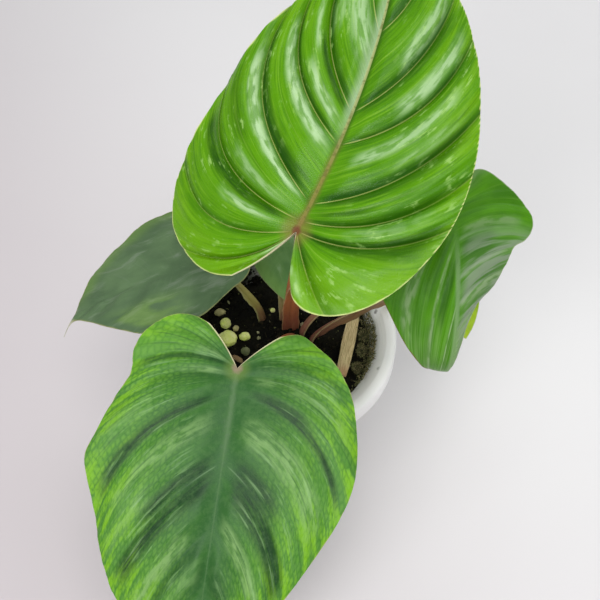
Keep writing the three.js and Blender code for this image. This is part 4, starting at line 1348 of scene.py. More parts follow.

# %% [markdown]
# The front leaf is older: blue-green in the middle and yellow-green in blotches near the margin. Its
# green darkens towards the midrib, partly by its own colour and partly by painted shade in the midrib's
# valley. Its veins are only folds, but between them runs a fine net, in rows, with light cells and dark
# threads. Voronoi cells laid along the veins draw it. The midrib is a fuzzy grey-green stripe that fades
# out a third of the way down.

# %% Paint for the front leaf


def net_cells(paint, across, along):
    """Cells in rows along the veins: how far the point is from the net, and a tone for each cell."""
    parts = {0: paint.marks["strand"] / across, 1: paint.marks["reach"] / along}
    rows = paint.node("ShaderNodeCombineXYZ", sockets=parts)
    sockets = {"Vector": rows, "Scale": 1.0, "Randomness": 0.6}
    flat = {"voronoi_dimensions": "2D"}
    net = paint.node("ShaderNodeTexVoronoi", {**flat, "feature": "DISTANCE_TO_EDGE"}, sockets)
    tone = paint.node("ShaderNodeTexVoronoi", flat, sockets, output="Color")
    return net, paint.parts(tone)[0]


def front_leaf_paint(name, leaf):
    paint = LeafPaint(name)
    way, count = paint.marks["way"], paint.marks["count"]
    broad = paint.with_veins(10, 50)
    streaks = paint.with_veins(1.6, 40)
    blots = paint.with_veins(6, 26, 3, 0.5)
    # Darker towards the midrib: partly the leaf's own blue-green, partly painted shade in the midrib's
    # valley.
    outward = paint.smooth(way * 0.6 + broad * 0.5 + paint.clouds * 0.15, 0.3, 0.8)
    paint.colour = paint.blend(outward, (0.027, 0.100, 0.022), (0.056, 0.190, 0.020))
    net, tone = net_cells(paint, 2.8, 3.6)
    near_margin = paint.past("way", 0.4, 0.85)
    cells = paint.smooth(net, 0.0, 0.4) * paint.smooth(tone, 0.0, 0.9, 0.5, 1.0)
    blotches = near_margin * paint.smooth(blots + cells * 0.06, 0.44, 0.66)
    paint.lay(blotches * 0.8, (0.175, 0.410, 0.006))
    lobes = paint.past("way", 0.25, 0.55) * paint.smooth(count, 2.6, 1.6)
    paint.lay(lobes * 0.35, (0.130, 0.340, 0.030))
    meshes = paint.past("way", 0.08, 0.45)
    paint.lay(meshes * cells * 0.22, (0.200, 0.420, 0.060))
    paint.lay(meshes * paint.smooth(net, 0.12, 0.0) * 0.14, (0.022, 0.085, 0.016))
    paint.bands((0.250, 0.420, 0.150), (0.006, 0.032, 0.009), 0.7, 0.95)
    dark = paint.smooth(streaks, 0.48, 0.3) * paint.past("way", 0.1, 0.3)
    paint.lay(dark * 0.5, (0.020, 0.080, 0.020))
    pale = paint.smooth(paint.with_veins(3.2, 34, 3), 0.55, 0.7) * paint.past("way", 0.12, 0.3)
    paint.lay(pale * paint.smooth(way, 0.95, 0.7) * 0.4, (0.260, 0.440, 0.190))
    fuzz = paint.smooth(paint.grains, 0.35, 0.65)
    midrib_gap, y = paint.marks["midrib_gap"], paint.marks["flat_y"]
    rib = paint.smooth(midrib_gap + fuzz * 1.4, 3.4, 0.6) * paint.smooth(y, 60, 26)
    paint.lay(rib * 0.28, (0.190, 0.280, 0.150))
    rib_line = paint.smooth(midrib_gap, 0.5, 0.2) * paint.smooth(y, 30, 44)
    paint.lay(rib_line * 0.12, (0.160, 0.260, 0.110))
    fifth_vein = paint.smooth(count, 4.6, 4.8) * paint.smooth(count, 5.4, 5.2)
    fifth_vein = fifth_vein * paint.smooth(way, 0.26, 0.14)
    vein_line = paint.smooth(paint.marks["vein_gap"], 0.45, 0.15) * paint.past("way", 0.03, 0.07)
    paint.lay(vein_line * fifth_vein * 0.2, (0.28, 0.42, 0.24))
    # A pale, painted velvety sheen over the grains.
    velvet_sheen = paint.smooth(paint.grains, 0.42, 0.62)
    paint.lay(velvet_sheen * 0.08, (0.200, 0.360, 0.130))
    paint.seat_spot(leaf, 9, (0.150, 0.230, 0.045), 0.5)
    paint.seat_spot(leaf, 4, (0.27, 0.19, 0.14), 0.75)
    paint.edge(0.6, 0.6, (0.34, 0.36, 0.12))
    paint.sinus_edge(0.9, 0.85, (0.62, 0.57, 0.36))
    return paint.shine(0.36, 0.5, level=0.16)


print("the front leaf's paint is ready")

# %% [markdown]
# The right leaf hangs and folds along its midrib. Stripes of fresh and pale green run down it, its far
# half carries patches of painted silvery reflection, and its tip is pale and blunt. Its margin is pale
# on the far half and red-brown on the near one.

# %% Paint for the right leaf


def right_leaf_paint(name, leaf):
    paint = LeafPaint(name)
    x, y = paint.marks["flat_x"], paint.marks["flat_y"]
    broad = paint.with_veins(7, 60)
    streaks = paint.with_veins(1.5, 60)
    mixed = paint.smooth(broad * 0.6 + paint.clouds * 0.4, 0.36, 0.66)
    paint.colour = paint.blend(mixed, (0.038, 0.158, 0.002), (0.078, 0.268, 0.004))
    paint.lay(paint.smooth(streaks, 0.52, 0.72) * 0.3, (0.160, 0.350, 0.040))
    paint.lay(paint.smooth(streaks, 0.48, 0.3) * 0.3, (0.030, 0.130, 0.004))
    paint.bands((0.290, 0.400, 0.210), (0.014, 0.075, 0.002), 0.8, 0.9)
    # Painted silvery reflection, in patches on the far half.
    far_half_reflection = paint.smooth(x, 2, -8) * paint.past("count", 2.6, 3.8)
    paint.lay(far_half_reflection * paint.smooth(broad, 0.42, 0.56, 0.1, 1.0) * 0.75, (0.240, 0.300, 0.210))
    lined = paint.smooth(x, 1, -1) * paint.past("count", 2.6, 3.4) * paint.past("way", 0.9, 0.3)
    near_vein = paint.smooth(paint.marks["vein_gap"] / 1.5, 1.0, 0.1) * paint.past("way", 0.01, 0.06)
    paint.lay(near_vein * lined * 0.45, (0.28, 0.37, 0.24))
    rib = paint.smooth(paint.marks["midrib_gap"], 2.0, 0.3) * paint.smooth(y, 8, 40)
    paint.lay(rib * 0.4, (0.27, 0.36, 0.22))
    low_part = paint.smooth(y, 48, 80) * paint.smooth(streaks, 0.35, 0.6)
    paint.lay(low_part * 0.35, (0.220, 0.380, 0.120))
    paint.lay(paint.smooth(y, 92, 106) * 0.6, (0.30, 0.42, 0.22))
    tinge = paint.blend(paint.smooth(x, -3, 3), (0.34, 0.42, 0.24), (0.17, 0.10, 0.035))
    paint.edge(0.8, 0.8, tinge)
    paint.seat_spot(leaf, 4, (0.30, 0.20, 0.10))
    return paint.shine(0.34, 0.48, level=0.14)


print("the right leaf's paint is ready")

# %% [markdown]
# The left leaf and the inner one are dull grey-green with soft streaks along the blade and a thin pale
# tip. The same layers paint both, from their own colours. The inner leaf's colours are painted lighter,
# as painted light for the shade in which it stands. The youngest leaf is nearly yellow.

# %% Paint for the dull leaves and the youngest


def dull_leaf_paint(name, leaf, dark, green, grey, glow, edge_colour):
    paint = LeafPaint(name)
    x, y = paint.marks["flat_x"], paint.marks["flat_y"]
    lengthwise = paint.node("ShaderNodeCombineXYZ", sockets={0: x / 8, 1: y / 34})
    strokes = paint.cloud(lengthwise, 1.0, 4, 0.6, 0.4)
    paint.colour = paint.blend(paint.smooth(paint.clouds * 0.6 + strokes * 0.4, 0.35, 0.65), dark, green)
    paint.lay(paint.smooth(strokes, 0.52, 0.7) * 0.55, grey)
    paint.lay(paint.smooth(paint.with_veins(1.6, 24), 0.55, 0.75) * 0.12, grey)
    margin_gap = paint.marks["margin_gap"]
    near_half = paint.smooth(x, -10, -20) * paint.smooth(y, 20, 44) * paint.smooth(y, 100, 80)
    glowing = near_half * paint.smooth(margin_gap, 2, 6) * paint.smooth(strokes, 0.35, 0.6)
    paint.lay(glowing * 0.5, glow)
    far_margin = paint.smooth(margin_gap, 11, 2) * paint.smooth(x, 2, 12)
    paint.lay(far_margin * 0.4, glow)
    paint.edge(0.8, 0.7, edge_colour)
    paint.lay(paint.smooth(y / leaf.length, 0.9, 0.96) * 0.8, (0.52, 0.50, 0.42))
    paint.seat_spot(leaf, 3, (0.16, 0.10, 0.05))
    return paint.shine(0.44, 0.6, level=0.22)


def young_leaf_paint(name, leaf):
    paint = LeafPaint(name)
    streaks = paint.with_veins(1.2, 14)
    mixed = paint.smooth(paint.clouds, 0.35, 0.65)
    paint.colour = paint.blend(mixed, (0.24, 0.46, 0.004), (0.42, 0.62, 0.008))
    paint.lay(paint.smooth(streaks, 0.52, 0.75) * 0.35, (0.36, 0.58, 0.04))
    paint.vein_lines(0.35, 0.6, (0.42, 0.52, 0.14))
    paint.edge(0.6, 0.7, (0.45, 0.52, 0.18))
    paint.seat_spot(leaf, 3, RED_BROWN)
    return paint.shine(0.26, 0.4)


print("paints for the dull leaves and the youngest are ready")

# %% [markdown]
# The underside is paler and matt, with raised veins of a lighter green. The cut edge between the two
# faces is a thin, pale, horny rim.

# %% Paint for the underside and the rim


def under_paint(name, green, line):
    paint = Paint(name)
    place = paint.place()
    clouds = paint.cloud(place, 60, 4)
    vein, midrib = paint.noted("vein_gap"), paint.noted("midrib_gap")
    colour = paint.blend(clouds, green, tuple(0.75 * value for value in green))
    colour = paint.blend(paint.smooth(vein, 0.9, 0.35) * 0.7, colour, line)
    colour = paint.blend(paint.smooth(midrib, 2.0, 0.9) * 0.8, colour, line)
    return paint.finished(
        Base_Color=colour,
        Roughness=paint.smooth(clouds, 0.3, 0.7, 0.5, 0.62),
        Normal=paint.relief(paint.cells(place, 1200) * -0.06 + clouds * 0.2, 0.001),
    )


def rim_paint(name, pale):
    paint = Paint(name)
    clouds = paint.cloud(paint.place(), 120, 3)
    colour = paint.blend(clouds, pale, tuple(0.7 * value for value in pale))
    return paint.finished(Base_Color=colour, Roughness=paint.smooth(clouds, 0.3, 0.7, 0.45, 0.55))


print("paints for the underside and the rim are ready")


# %% [markdown]
# Each leaf now gets its paint and the colour of its rim.

# %% Each leaf's look


def left_leaf_paint(name, leaf):
    return dull_leaf_paint(
        name, leaf, dark=(0.058, 0.108, 0.048), green=(0.092, 0.160, 0.070), grey=(0.190, 0.235, 0.180),
        glow=(0.140, 0.260, 0.040), edge_colour=(0.260, 0.270, 0.100),
    )


# Lighter colours than the left leaf's: painted light for the shade that the inner leaf stands in.
def inner_leaf_paint(name, leaf):
    return dull_leaf_paint(
        name, leaf, dark=(0.075, 0.180, 0.050), green=(0.140, 0.275, 0.080), grey=(0.260, 0.380, 0.220),
        glow=(0.190, 0.360, 0.065), edge_colour=(0.220, 0.250, 0.110),
    )


BLADE_PAINTS = {
    "top": (top_leaf_paint, (0.50, 0.50, 0.26)),
    "front": (front_leaf_paint, (0.46, 0.42, 0.24)),
    "left": (left_leaf_paint, (0.28, 0.28, 0.12)),
    "right": (right_leaf_paint, (0.20, 0.14, 0.06)),
    "inner": (inner_leaf_paint, (0.24, 0.26, 0.12)),
    "young": (young_leaf_paint, (0.46, 0.50, 0.20)),
}
print("blades to paint:", len(BLADE_PAINTS))

# %% [markdown]
# All is ready for the blades. One loop grows each of them, mixes its three paints, for the upper face,
# the underside and the rim, and wraps it up.

# %% Grow and paint the six blades
UNDERSIDE = ((0.13, 0.26, 0.07), (0.26, 0.36, 0.14))

for name, leaf in LEAVES.items():
    blade = whole_blade(name, leaf, *FINENESS[name])
    blade_paint, rim_colour = BLADE_PAINTS[name]
    paints = [
        blade_paint(f"{name} leaf, upper face", leaf),
        under_paint(f"{name} leaf, underside", *UNDERSIDE),
        rim_paint(f"{name} leaf, rim", rim_colour),
    ]
    wrap_up(blade, paints, [f"leaf_{name}"])

# %% [markdown]
# ## The petioles
# A petiole carries each blade: rounded below, grooved above, with a thin frilled wing along both
# shoulders. Such a section changes all the way up, so a plain bevelled curve can't make it. A grid is
# rolled into a tube instead: its one direction goes round the section and its other up the curve.

# %% The petioles' measures
PETIOLE_FOOT = 93.7
PETIOLE_SEAT = 2.6
PETIOLE_DEPTH = 0.82
WING_EDGE = 0.3
FRILL, FINE_FRILL = 0.35, 0.12
SECTION_STEPS = 52
LENGTH_STEPS = 90
TANGENT_STEP = 0.004

PETIOLES = {
    "top": dict(
        foot=(2.4, 8.6), rise=52, reach=20, sway=-6, facing=(0.2, -1, 0),
        half_width=(4.6, 3.2), wing=1.5, frills=5,
    ),
    "front": dict(
        foot=(5.5, -1.2), rise=30, reach=22, sway=0, facing=(-0.4, -1, 0),
        half_width=(3.5, 2.9), wing=1.3, frills=4,
    ),
    "left": dict(
        foot=(-15.3, 16.9), rise=24, reach=16, sway=0, facing=(-1, 0.2, 0),
        half_width=(3.2, 2.5), wing=1.0, frills=3,
    ),
    "right": dict(
        foot=(10.6, 5.8), rise=30, reach=38, sway=0, facing=(1, -0.3, 0),
        half_width=(3.4, 2.8), wing=1.4, frills=5,
    ),
    "inner": dict(
        foot=(-1.2, 16.4), rise=16, reach=18, sway=0, facing=(0.1, -1, 0.6),
        half_width=(2.6, 1.9), wing=0.7, frills=2,
    ),
    "young": dict(
        foot=(16.4, 0.8), rise=20.5, reach=10, sway=0, facing=(1, -0.4, 0.3),
        half_width=(2.9, 2.1), wing=1.2, frills=4,
    ),
}
print("petioles:", ", ".join(PETIOLES))

# %% [markdown]
# The section is a closed curve through corners: six round the belly, a thin tip for each wing, and three
# in the groove. The wings fade at both ends of the petiole and ripple on the way.

# %% A petiole's section


def frill(turn, shift, quicker):
    return FRILL * math.sin(turn + shift) + FINE_FRILL * math.sin(quicker * turn)


def section(petiole, share):
    half = ramp(petiole["half_width"], min(1, share * 1.6))
    depth = PETIOLE_DEPTH * half
    presence = math.sin(math.pi * min(1, 0.02 + share * 0.98)) ** 0.6
    turn = 2 * math.pi * petiole["frills"] * share
    left_frill, right_frill = frill(turn, 0, 3.1), frill(turn, 0.5, 3.7)
    wing = presence * petiole["wing"]
    right_tip, left_tip = half + wing * (1 + right_frill), half + wing * (1 + left_frill)
    lift = 0.3 * depth
    right_lift, left_lift = lift + presence * right_frill, lift + presence * left_frill
    below = [math.radians(angle) for angle in (-175, -140, -105, -75, -40, -5)]
    corners = [(half * math.cos(angle), depth * math.sin(angle)) for angle in below]
    corners += [(right_tip, right_lift - WING_EDGE), (right_tip, right_lift + WING_EDGE)]
    corners += [(0.5 * half, 0.42 * depth), (0, 0.3 * depth), (-0.5 * half, 0.42 * depth)]
    corners += [(-left_tip, left_lift + WING_EDGE), (-left_tip, left_lift - WING_EDGE)]
    curve, lengths = even_curve(corners + corners[:1], 12)
    steps = np.linspace(0, 1, SECTION_STEPS + 1)
    return np.stack([np.interp(steps, lengths, curve[:, axis]) for axis in (0, 1)], 1)


halfway = section(PETIOLES["top"], 0.5)
print("halfway up, the top petiole is", np.ptp(halfway[:, 0]).round(1), "mm wide with its wings")

# %% [markdown]
# A petiole leaves the stem upright and meets its blade from below, square to the underside. One smooth
# curve with two handles does both. The section is carried up it on frames that turn slowly from the
# side it faces at the foot to the heading of the blade.

# %% A petiole's curve and its rings


def petiole_curve(petiole, leaf):
    drop = -(BLADE_THICKNESS / 2 + KEEL + GAP)
    end = blade_points(leaf, np.zeros(1), np.full(1, PETIOLE_SEAT), np.full(1, drop))[0]
    _, across, out = (rows[0] for rows in directions(leaf, np.full(1, PETIOLE_SEAT)))
    foot = np.array([*petiole["foot"], PETIOLE_FOOT])
    low_handle = foot + [0, 0, petiole["rise"]]
    high_handle = end - out * petiole["reach"] + [petiole["sway"], 0, 0]
    t = np.linspace(0, 1, 400)[:, None]
    curve = foot * (1 - t) ** 3 + low_handle * 3 * t * (1 - t) ** 2
    curve = curve + high_handle * 3 * t ** 2 * (1 - t) + end * t ** 3
    lengths = np.concatenate([[0], np.cumsum(np.linalg.norm(np.diff(curve, axis=0), axis=1))])
    return curve, lengths / lengths[-1], np.cross(out, across)


def petiole_rings(petiole, leaf):
    curve, lengths, up_end = petiole_curve(petiole, leaf)
    up_start = np.array(petiole["facing"]) / np.linalg.norm(petiole["facing"])
    rings, asides = [], []
    for share in np.linspace(0, 1, LENGTH_STEPS + 1):
        centre, before, after = (
            np.array([np.interp(at, lengths, curve[:, axis]) for axis in range(3)])
            for at in (share, max(0, share - TANGENT_STEP), min(1, share + TANGENT_STEP))
        )
        tangent = (after - before) / np.linalg.norm(after - before)
        up = ramp((up_start, up_end), share)
        up = up - tangent * up.dot(tangent)
        up /= np.linalg.norm(up)
        across = np.cross(up, tangent)
        flat = section(petiole, share)
        rings.append(centre + flat[:, :1] * across + flat[:, 1:] * up)
        asides.append(np.abs(flat[:, 0]) / np.abs(flat[:, 0]).max())
    return np.array(rings), np.array(asides)


for name, petiole in PETIOLES.items():
    print("petiole", name, "ends at", petiole_curve(petiole, LEAVES[name])[0][-1].round(1))

# %% [markdown]
# The grid's columns are laid on the rings one by one. The seam, where the last step round meets the
# first, is merged, and the two open ends are filled, so the petiole is a closed skin.

# %% Roll a grid into a petiole


def whole_petiole(name, petiole, leaf):
    bpy.ops.object.select_all(action="DESELECT")
    bpy.ops.mesh.primitive_grid_add(
        x_subdivisions=SECTION_STEPS, y_subdivisions=LENGTH_STEPS, size=1, calc_uvs=True
    )
    tube = named(f"petiole_skin_{name}")
    grid = points_of(tube)
    around = np.rint((grid[:, 0] + 0.5) * SECTION_STEPS).astype(int)
    step = np.rint((grid[:, 1] + 0.5) * LENGTH_STEPS).astype(int)
    rings, asides = petiole_rings(petiole, leaf)
    move_points(tube, rings[step, around] * MM)
    note_on_points(tube, "share", step / LENGTH_STEPS)
    note_on_points(tube, "around", around / SECTION_STEPS)
    note_on_points(tube, "aside", asides[step, around])
    open_for_editing(tube)
    bpy.ops.mesh.remove_doubles(threshold=MERGE_DISTANCE)
    bpy.ops.mesh.fill_holes(sides=0)
    bpy.ops.mesh.select_all(action="SELECT")
    bpy.ops.mesh.normals_make_consistent(inside=False)
    close_editing()
    smooth_shaded(tube, 50)
    return tube


print("a petiole's grid has", SECTION_STEPS, "steps round and", LENGTH_STEPS, "along")

# %% [markdown]
# Petiole paint: the older ones are red-brown below and turn olive near the blade. The wings and the
# groove between them are paler. Fine lines run lengthwise, with small dark flecks between them.

# %% Paint and make the petioles
RED = dict(
    foot=(0.24, 0.078, 0.045), middle=(0.36, 0.120, 0.038), top=(0.40, 0.24, 0.11), wing=(0.42, 0.26, 0.13),
)
PINK = dict(
    foot=(0.26, 0.110, 0.072), middle=(0.27, 0.155, 0.072), top=(0.27, 0.22, 0.09), wing=(0.40, 0.33, 0.16),
)
OLIVE = dict(
    foot=(0.22, 0.105, 0.062), middle=(0.30, 0.270, 0.070), top=(0.38, 0.39, 0.13), wing=(0.38, 0.37, 0.16),
)
PETIOLE_LOOKS = {
    "top": ("petiole_red", RED), "front": ("petiole_red", RED), "left": ("petiole_olive", OLIVE),
    "right": ("petiole_red", PINK), "inner": ("petiole_olive", OLIVE), "young": ("petiole_olive", PINK),
}


def petiole_paint(name, foot, middle, top, wing):
    paint = Paint(name)
    place = paint.place()
    share, around, aside = (paint.noted(mark) for mark in ("share", "around", "aside"))
    clouds = paint.cloud(place, 70, 4)
    stretched = paint.node("ShaderNodeCombineXYZ", sockets={0: around * 46, 1: share * 7})
    lines = paint.cloud(stretched, 1.0, 3, 0.6)
    colour = paint.blend(paint.smooth(share + (clouds - 0.5) * 0.3, 0.02, 0.35), foot, middle)
    colour = paint.blend(paint.smooth(share + (clouds - 0.5) * 0.2, 0.6, 0.98), colour, top)
    colour = paint.blend(paint.smooth(lines, 0.52, 0.7) * 0.22, colour, wing)
    colour = paint.blend(paint.smooth(aside, 0.84, 0.97) * 0.8, colour, wing)
    flecks = paint.smooth(paint.cells(place, 420), 0.22, 0.12)
    colour = paint.blend(flecks * 0.3, colour, tuple(0.4 * value for value in foot))
    return paint.finished(
        Base_Color=colour,
        Roughness=paint.smooth(clouds, 0.3, 0.7, 0.36, 0.5),
        Normal=paint.relief(lines * 0.25 + clouds * 0.3, 0.0008),
        Specular_IOR_Level=0.35,
    )


for name, petiole in PETIOLES.items():
    tube = whole_petiole(name, petiole, LEAVES[name])
    slot, look = PETIOLE_LOOKS[name]
    wrap_up(tube, [petiole_paint(f"{name} petiole", **look)], [f"petiole_{name}"])

# %% [markdown]
# ## The rooted stem
# The stem creeps under the soil, and at most a hint of it shows between the petioles. The solid's shape
# is right, so it stays and gets a corky bark: brown, mottled and rough.

# %% Paint the stem


def stem_paint():
    paint = Paint("corky stem")
    place = paint.place()
    clouds = paint.cloud(place, 120, 5, 0.65)
    colour = paint.blend(paint.smooth(clouds, 0.35, 0.7), (0.055, 0.030, 0.016), (0.20, 0.12, 0.06))
    return paint.finished(
        Base_Color=colour,
        Roughness=paint.smooth(clouds, 0.3, 0.7, 0.7, 0.9),
        Normal=paint.relief(clouds + paint.cells(place, 300) * 0.3, 0.001),
    )


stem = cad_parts["stem"]
stem.data.materials.clear()
stem.data.materials.append(stem_paint())
print("stem keeps its solid")

# %% [markdown]
# ## Pebbles
# Eight rounded grains of mineral lie on the soil, most of them pale yellow-green, two tan and one dim.
# Each starts as an icosphere set in its solid's box. Noise pushes its points in and out, coarsely and
# then finely, into a slightly lumpy ball, and the paint adds pits, darkened with painted shade.

# %% Make the pebbles


def lumpy_ball(name, node, seed, lump, detail=5):
    low, high = (np.array(corner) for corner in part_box(node))
    bpy.ops.object.select_all(action="DESELECT")
    bpy.ops.mesh.primitive_ico_sphere_add(subdivisions=detail, radius=1)
    ball = named(name)
    unit = points_of(ball)
    push = [
        1 + lump * noise.noise(Vector(point) * 1.7 + Vector((seed, 0, 0)))
        + 0.3 * lump * noise.noise(Vector(point) * 5.5 + Vector((0, seed, 0)))
        for point in unit
    ]
    move_points(ball, (low + high) / 2 + unit * np.array(push)[:, None] * (high - low) / 2)
    smooth_shaded(ball, 80)
    return ball


def pebble_paint(name, pale, green):
    paint = Paint(name)
    place = paint.place()
    clouds = paint.cloud(place, 140, 4)
    pits = paint.smooth(paint.cells(place, 900), 0.3, 0.05)
    colour = paint.blend(paint.smooth(clouds, 0.35, 0.65), pale, green)
    # The pits are painted darker: painted shade in them.
    colour = paint.blend(pits * 0.5, colour, tuple(0.45 * value for value in green))
    return paint.finished(
        Base_Color=colour,
        Roughness=paint.smooth(clouds, 0.3, 0.7, 0.6, 0.8),
        Normal=paint.relief(clouds * 0.5 - pits * 0.5, 0.0006),
    )


YELLOW_GREEN = ((0.94, 0.97, 0.42), (0.80, 0.90, 0.20))
TAN = ((0.62, 0.56, 0.28), (0.46, 0.42, 0.18))
DIM = ((0.20, 0.21, 0.10), (0.13, 0.15, 0.06))
PEBBLE_TONES = [YELLOW_GREEN, YELLOW_GREEN, TAN, YELLOW_GREEN, TAN, DIM, YELLOW_GREEN, YELLOW_GREEN]
for index, tones in enumerate(PEBBLE_TONES, 1):
    pebble = lumpy_ball(f"grain_{index}", f"pebble_{index}", index * 3.7, 0.16)
    wrap_up(pebble, [pebble_paint(f"pebble {index}", *tones)], [f"pebble_{index}"])

# %% [markdown]
# ## Bark
# Two chips of wood lie on the soil, a long pale one at the right and a small one at the left. A box is
# stretched along the chip, cut finely, and tapered to both ends. Long, narrow noise then moves its
# points, which gives splinters and a fibrous grain that the paint repeats.

# %% Cut a chip out of a box
CHIPS = {
    "bark_1": dict(
        start=(43.2, 20.4, 0.0), end=(33.0, -25.4, 0.6), half_width=4.0, half_height=1.2, seed=3.0,
        light=(0.92, 0.76, 0.42), dark=(0.52, 0.37, 0.16), foot=(0.60, 0.34, 0.18),
    ),
    "bark_2": dict(
        start=(-31.8, -11.4, -0.4), end=(-26.4, -15.2, -0.1), half_width=1.5, half_height=0.9, seed=7.0,
        light=(0.36, 0.24, 0.11), dark=(0.16, 0.09, 0.04), foot=(0.3, 0.2, 0.1),
    ),
}


def chip(name, start, end, half_width, half_height, seed):
    start, end = Vector(start) * MM, Vector(end) * MM
    along = end - start
    bpy.ops.object.select_all(action="DESELECT")
    bpy.ops.mesh.primitive_cube_add(size=2, location=(0, 0, 0))
    piece = named(name)
    open_for_editing(piece)
    half_sizes = (along.length / 2, half_width * MM, half_height * MM)
    bpy.ops.transform.resize(value=half_sizes, center_override=(0, 0, 0))
    bpy.ops.mesh.subdivide(number_cuts=23, smoothness=0)
    close_editing()
    places = points_of(piece)
    share = places[:, 0] / along.length + 0.5
    taper = 0.55 + 0.45 * np.sin(np.pi * (0.12 + 0.76 * share))
    round_edges = 1 - 0.35 * (np.abs(places[:, 1]) / (half_width * MM)) ** 3
    grain = np.array([noise.noise(Vector((x * 60 + seed, y * 900, z * 900))) for x, y, z in places])
    places[:, 1] *= taper * (1 + 0.12 * grain)
    places[:, 2] = places[:, 2] * round_edges * (1 + 0.3 * grain)
    places[:, 0] += grain * 0.8 * MM * (np.abs(share - 0.5) > 0.49)
    turn = np.array(along.to_track_quat("X", "Z").to_matrix())
    note_on_points(piece, "lengthwise", places[:, 0] / MM)
    note_on_points(piece, "sideways", places[:, 1] / MM)
    move_points(piece, places @ turn.T + np.array((start + end) / 2))
    smooth_shaded(piece, 35)
    return piece


long_chip = CHIPS["bark_1"]
print("the long chip is", round(math.dist(long_chip["start"], long_chip["end"]), 1), "mm long")

# %% [markdown]
# Bark paint: long light and dark fibres, and a redder, weathered end on the long chip.

# %% Paint and lay the chips


def bark_paint(name, light, dark, foot):
    paint = Paint(name)
    place = paint.place()
    lengthwise, sideways = paint.noted("lengthwise"), paint.noted("sideways")
    grain_place = paint.node("ShaderNodeCombineXYZ", sockets={0: lengthwise * 0.12, 1: sideways * 2.6})
    grain = paint.cloud(grain_place, 1.0, 4, 0.65)
    clouds = paint.cloud(place, 110, 3)
    colour = paint.blend(paint.smooth(grain, 0.38, 0.6), dark, light)
    colour = paint.blend(paint.smooth(lengthwise, 14, 23) * paint.smooth(clouds, 0.3, 0.6), colour, foot)
    return paint.finished(
        Base_Color=colour,
        Roughness=0.85,
        Normal=paint.relief(grain * 0.9 + clouds * 0.3, 0.0008),
    )


for index, (node, form) in enumerate(CHIPS.items(), 1):
    low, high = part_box(node)
    middle = (low[2] + high[2]) / 2 / MM
    start, end = ((x, y, middle + z) for x, y, z in (form["start"], form["end"]))
    piece = chip(f"chip_{index}", start, end, form["half_width"], form["half_height"], form["seed"])
    paint = bark_paint(f"bark {index}", form["light"], form["dark"], form["foot"])
    wrap_up(piece, [paint], [node])

# %% [markdown]
# ## Moss
# Three small tufts grow at the right wall. A tuft is a cushion of hundreds of tiny leaves: a cone with
# three sides is modelled once and stamped, thinned and turned, all over a dome in the solid's box.

# %% Stamp a tuft of moss leaves
MOSS_LEAVES = 620


def moss_leaf():
    bpy.ops.object.select_all(action="DESELECT")
    bpy.ops.mesh.primitive_cone_add(vertices=3, radius1=0.15, radius2=0, depth=1, location=(0, 0, 0.5))
    leaf = named("moss_leaf")
    bpy.ops.object.transform_apply(location=True, rotation=False, scale=False)
    return take_model(leaf)


moss_model = moss_leaf()
dome_model = take_model(roughened_ball("dome", 4, (1, 1, 1), detail=2, roughness=0.1))


def moss_tuft(name, node, seed):
    low, high = (np.array(corner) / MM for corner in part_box(node))
    middle, reach = (low + high) / 2, (high - low) / 2
    draw = random.Random(seed)
    stamps = [(dome_model, np.eye(3), reach * 0.7, middle, 0.0)]
    for _ in range(MOSS_LEAVES):
        yaw, tip = draw.uniform(0, 2 * math.pi), math.acos(draw.uniform(-0.1, 1.0))
        outward = np.array([math.sin(tip) * math.cos(yaw), math.sin(tip) * math.sin(yaw), math.cos(tip)])
        turn = turning(yaw + draw.uniform(-0.7, 0.7), tip + draw.uniform(-0.6, 0.6), 0)
        size = draw.uniform(1.1, 2.6)
        thin = np.array([0.75, 0.75, 1.0]) * size
        root = middle + outward * reach * draw.uniform(0.45, 0.85)
        stamps.append((moss_model, turn, thin, root, draw.random()))
    return stamped(name, stamps)


print("a tuft has", MOSS_LEAVES, "leaves on a dome")

# %% [markdown]
# Moss paint: every leaf carries its own tone, from nearly black through olive to a few dry, tan ones.

# %% Paint and grow the three tufts


def moss_paint():
    paint = Paint("moss")
    place = paint.place()
    tone = paint.noted("tone")
    clouds = paint.cloud(place, 300, 3)
    colour = paint.blend(tone, (0.020, 0.024, 0.008), (0.26, 0.26, 0.10))
    colour = paint.blend(paint.smooth(clouds, 0.5, 0.7) * 0.5, colour, (0.17, 0.13, 0.05))
    colour = paint.blend(paint.smooth(tone, 0.86, 0.9) * 0.8, colour, (0.50, 0.40, 0.21))
    return paint.finished(Base_Color=colour, Roughness=0.95, Normal=paint.relief(clouds, 0.0003))


moss = moss_paint()
for index in (1, 2, 3):
    tuft = moss_tuft(f"tuft_{index}", f"moss_{index}", 40 + index)
    wrap_up(tuft, [moss], [f"moss_{index}"])

# %% [markdown]
# Between the tufts, bits of moss lie in a loose strip along the right wall, where the soil creeps a
# little up the slope. The same leaf model is strewn there, thickest in the middle of the strip.

# %% Strew the loose moss
LOOSE_LEAVES = 1500
STRIP_ANGLES = (-46, 40, -4)
STRIP_RADIUS, STRIP_SPREAD = 54.5, 3.6
STRIP_LEVEL, WALL_SLOPE = 96.2, 1.6

loose, stamps = random.Random(71), []
for _ in range(LOOSE_LEAVES):
    around = math.radians(loose.triangular(*STRIP_ANGLES))
    radius = STRIP_RADIUS - abs(loose.gauss(0, STRIP_SPREAD)) * math.cos(1.6 * around)
    level = STRIP_LEVEL + WALL_SLOPE * max(0.0, radius - SOIL_RADIUS) + loose.uniform(0, 1.6)
    place = (radius * math.cos(around), radius * math.sin(around), level)
    turn = turning(loose.uniform(0, ANY_YAW), loose.uniform(-1.5, 1.0), 0)
    size = loose.uniform(0.9, 2.8)
    stamps.append((moss_model, turn, np.array([0.8, 0.8, 1.0]) * size, place, loose.random()))
loose_moss = stamped("loose_moss", stamps)
wrap_up(loose_moss, [moss])

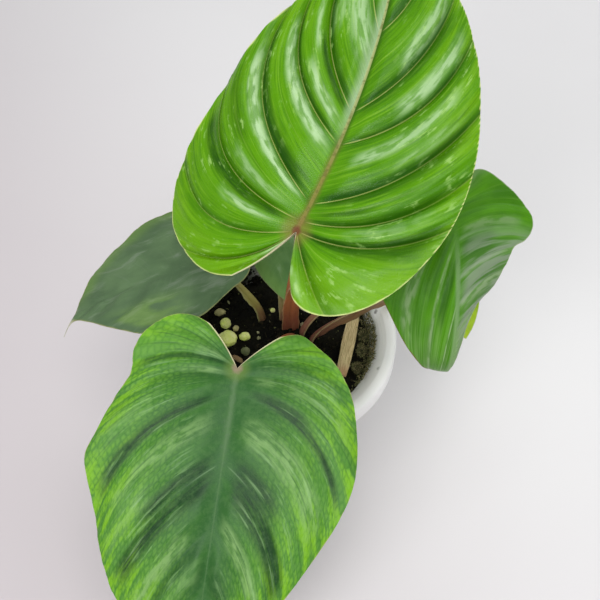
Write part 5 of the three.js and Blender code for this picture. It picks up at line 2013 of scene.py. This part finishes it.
# %% [markdown]
# ## Floor and light
# The plant stands on a plain pale floor under soft daylight. Its colour is painted lighter towards the
# right and darker at the left: painted light and shade across the floor.

# %% The floor
bpy.ops.object.select_all(action="DESELECT")
bpy.ops.mesh.primitive_plane_add(size=6, location=(0, 0, 0))
floor = named("floor")


def floor_paint():
    paint = Paint("pale floor")
    place = paint.place()
    x, y, _ = paint.parts(place)
    clouds = paint.cloud(place, 5, 3)
    # Painted light: the floor's colour runs from darker at the left to lighter at the right and the back.
    colour = paint.blend(paint.smooth(x + y * 0.7, -0.3, 0.3), (0.555, 0.515, 0.530), (0.755, 0.755, 0.755))
    colour = paint.tinted(colour, paint.smooth(clouds, 0.4, 0.7) * 0.4, (0.97, 0.965, 0.97))
    return paint.finished(Base_Color=colour, Roughness=0.7, Specular_IOR_Level=0.2)


floor.data.materials.append(floor_paint())
print("the floor's top is at", max(corner[2] for corner in floor.bound_box))

# %% [markdown]
# Four soft panels stand for windows: the main one overhead, a wide one behind, one at the front left,
# and a small near one that reaches into the pot. An even pale sky fills the shadows. The silvery shine
# on the leaves is painted in their bands, so the panels can stay soft.

# %% The lights


def panel(name, place, aim, width, height, power, colour):
    bpy.ops.object.light_add(type="AREA", location=place)
    light = bpy.context.object
    light.name = name
    light.data.shape = "RECTANGLE"
    light.data.size, light.data.size_y = width, height
    light.data.energy = power
    light.data.color = colour
    light.rotation_euler = (Vector(aim) - Vector(place)).to_track_quat("-Z", "Y").to_euler()


panel("main panel", (0.12, -0.32, 1.3), (0, 0, 0.15), 0.6, 0.6, 5.0, (1.0, 0.99, 0.97))
panel("back panel", (0.95, 1.0, 1.2), (0.15, 0.3, 0.0), 1.2, 1.2, 7, (0.98, 0.99, 1.0))
panel("front panel", (-0.6, -0.85, 0.95), (0.03, 0, 0.08), 0.6, 0.6, 4.2, (1.0, 1.0, 1.0))
panel("near panel", (-0.14, -0.42, 0.62), (0.05, 0, 0.09), 0.3, 0.3, 1.3, (1.0, 1.0, 1.0))

world = bpy.data.worlds.new("pale sky")
bpy.context.scene.world = world
world.use_nodes = True
world.node_tree.nodes["Background"].inputs["Color"].default_value = (0.95, 0.94, 0.96, 1)
world.node_tree.nodes["Background"].inputs["Strength"].default_value = 0.6
bpy.context.scene.view_settings.view_transform = "Standard"
bpy.context.scene.view_settings.look = "None"
bpy.context.scene.view_settings.exposure = 0.0
print("lights are up")
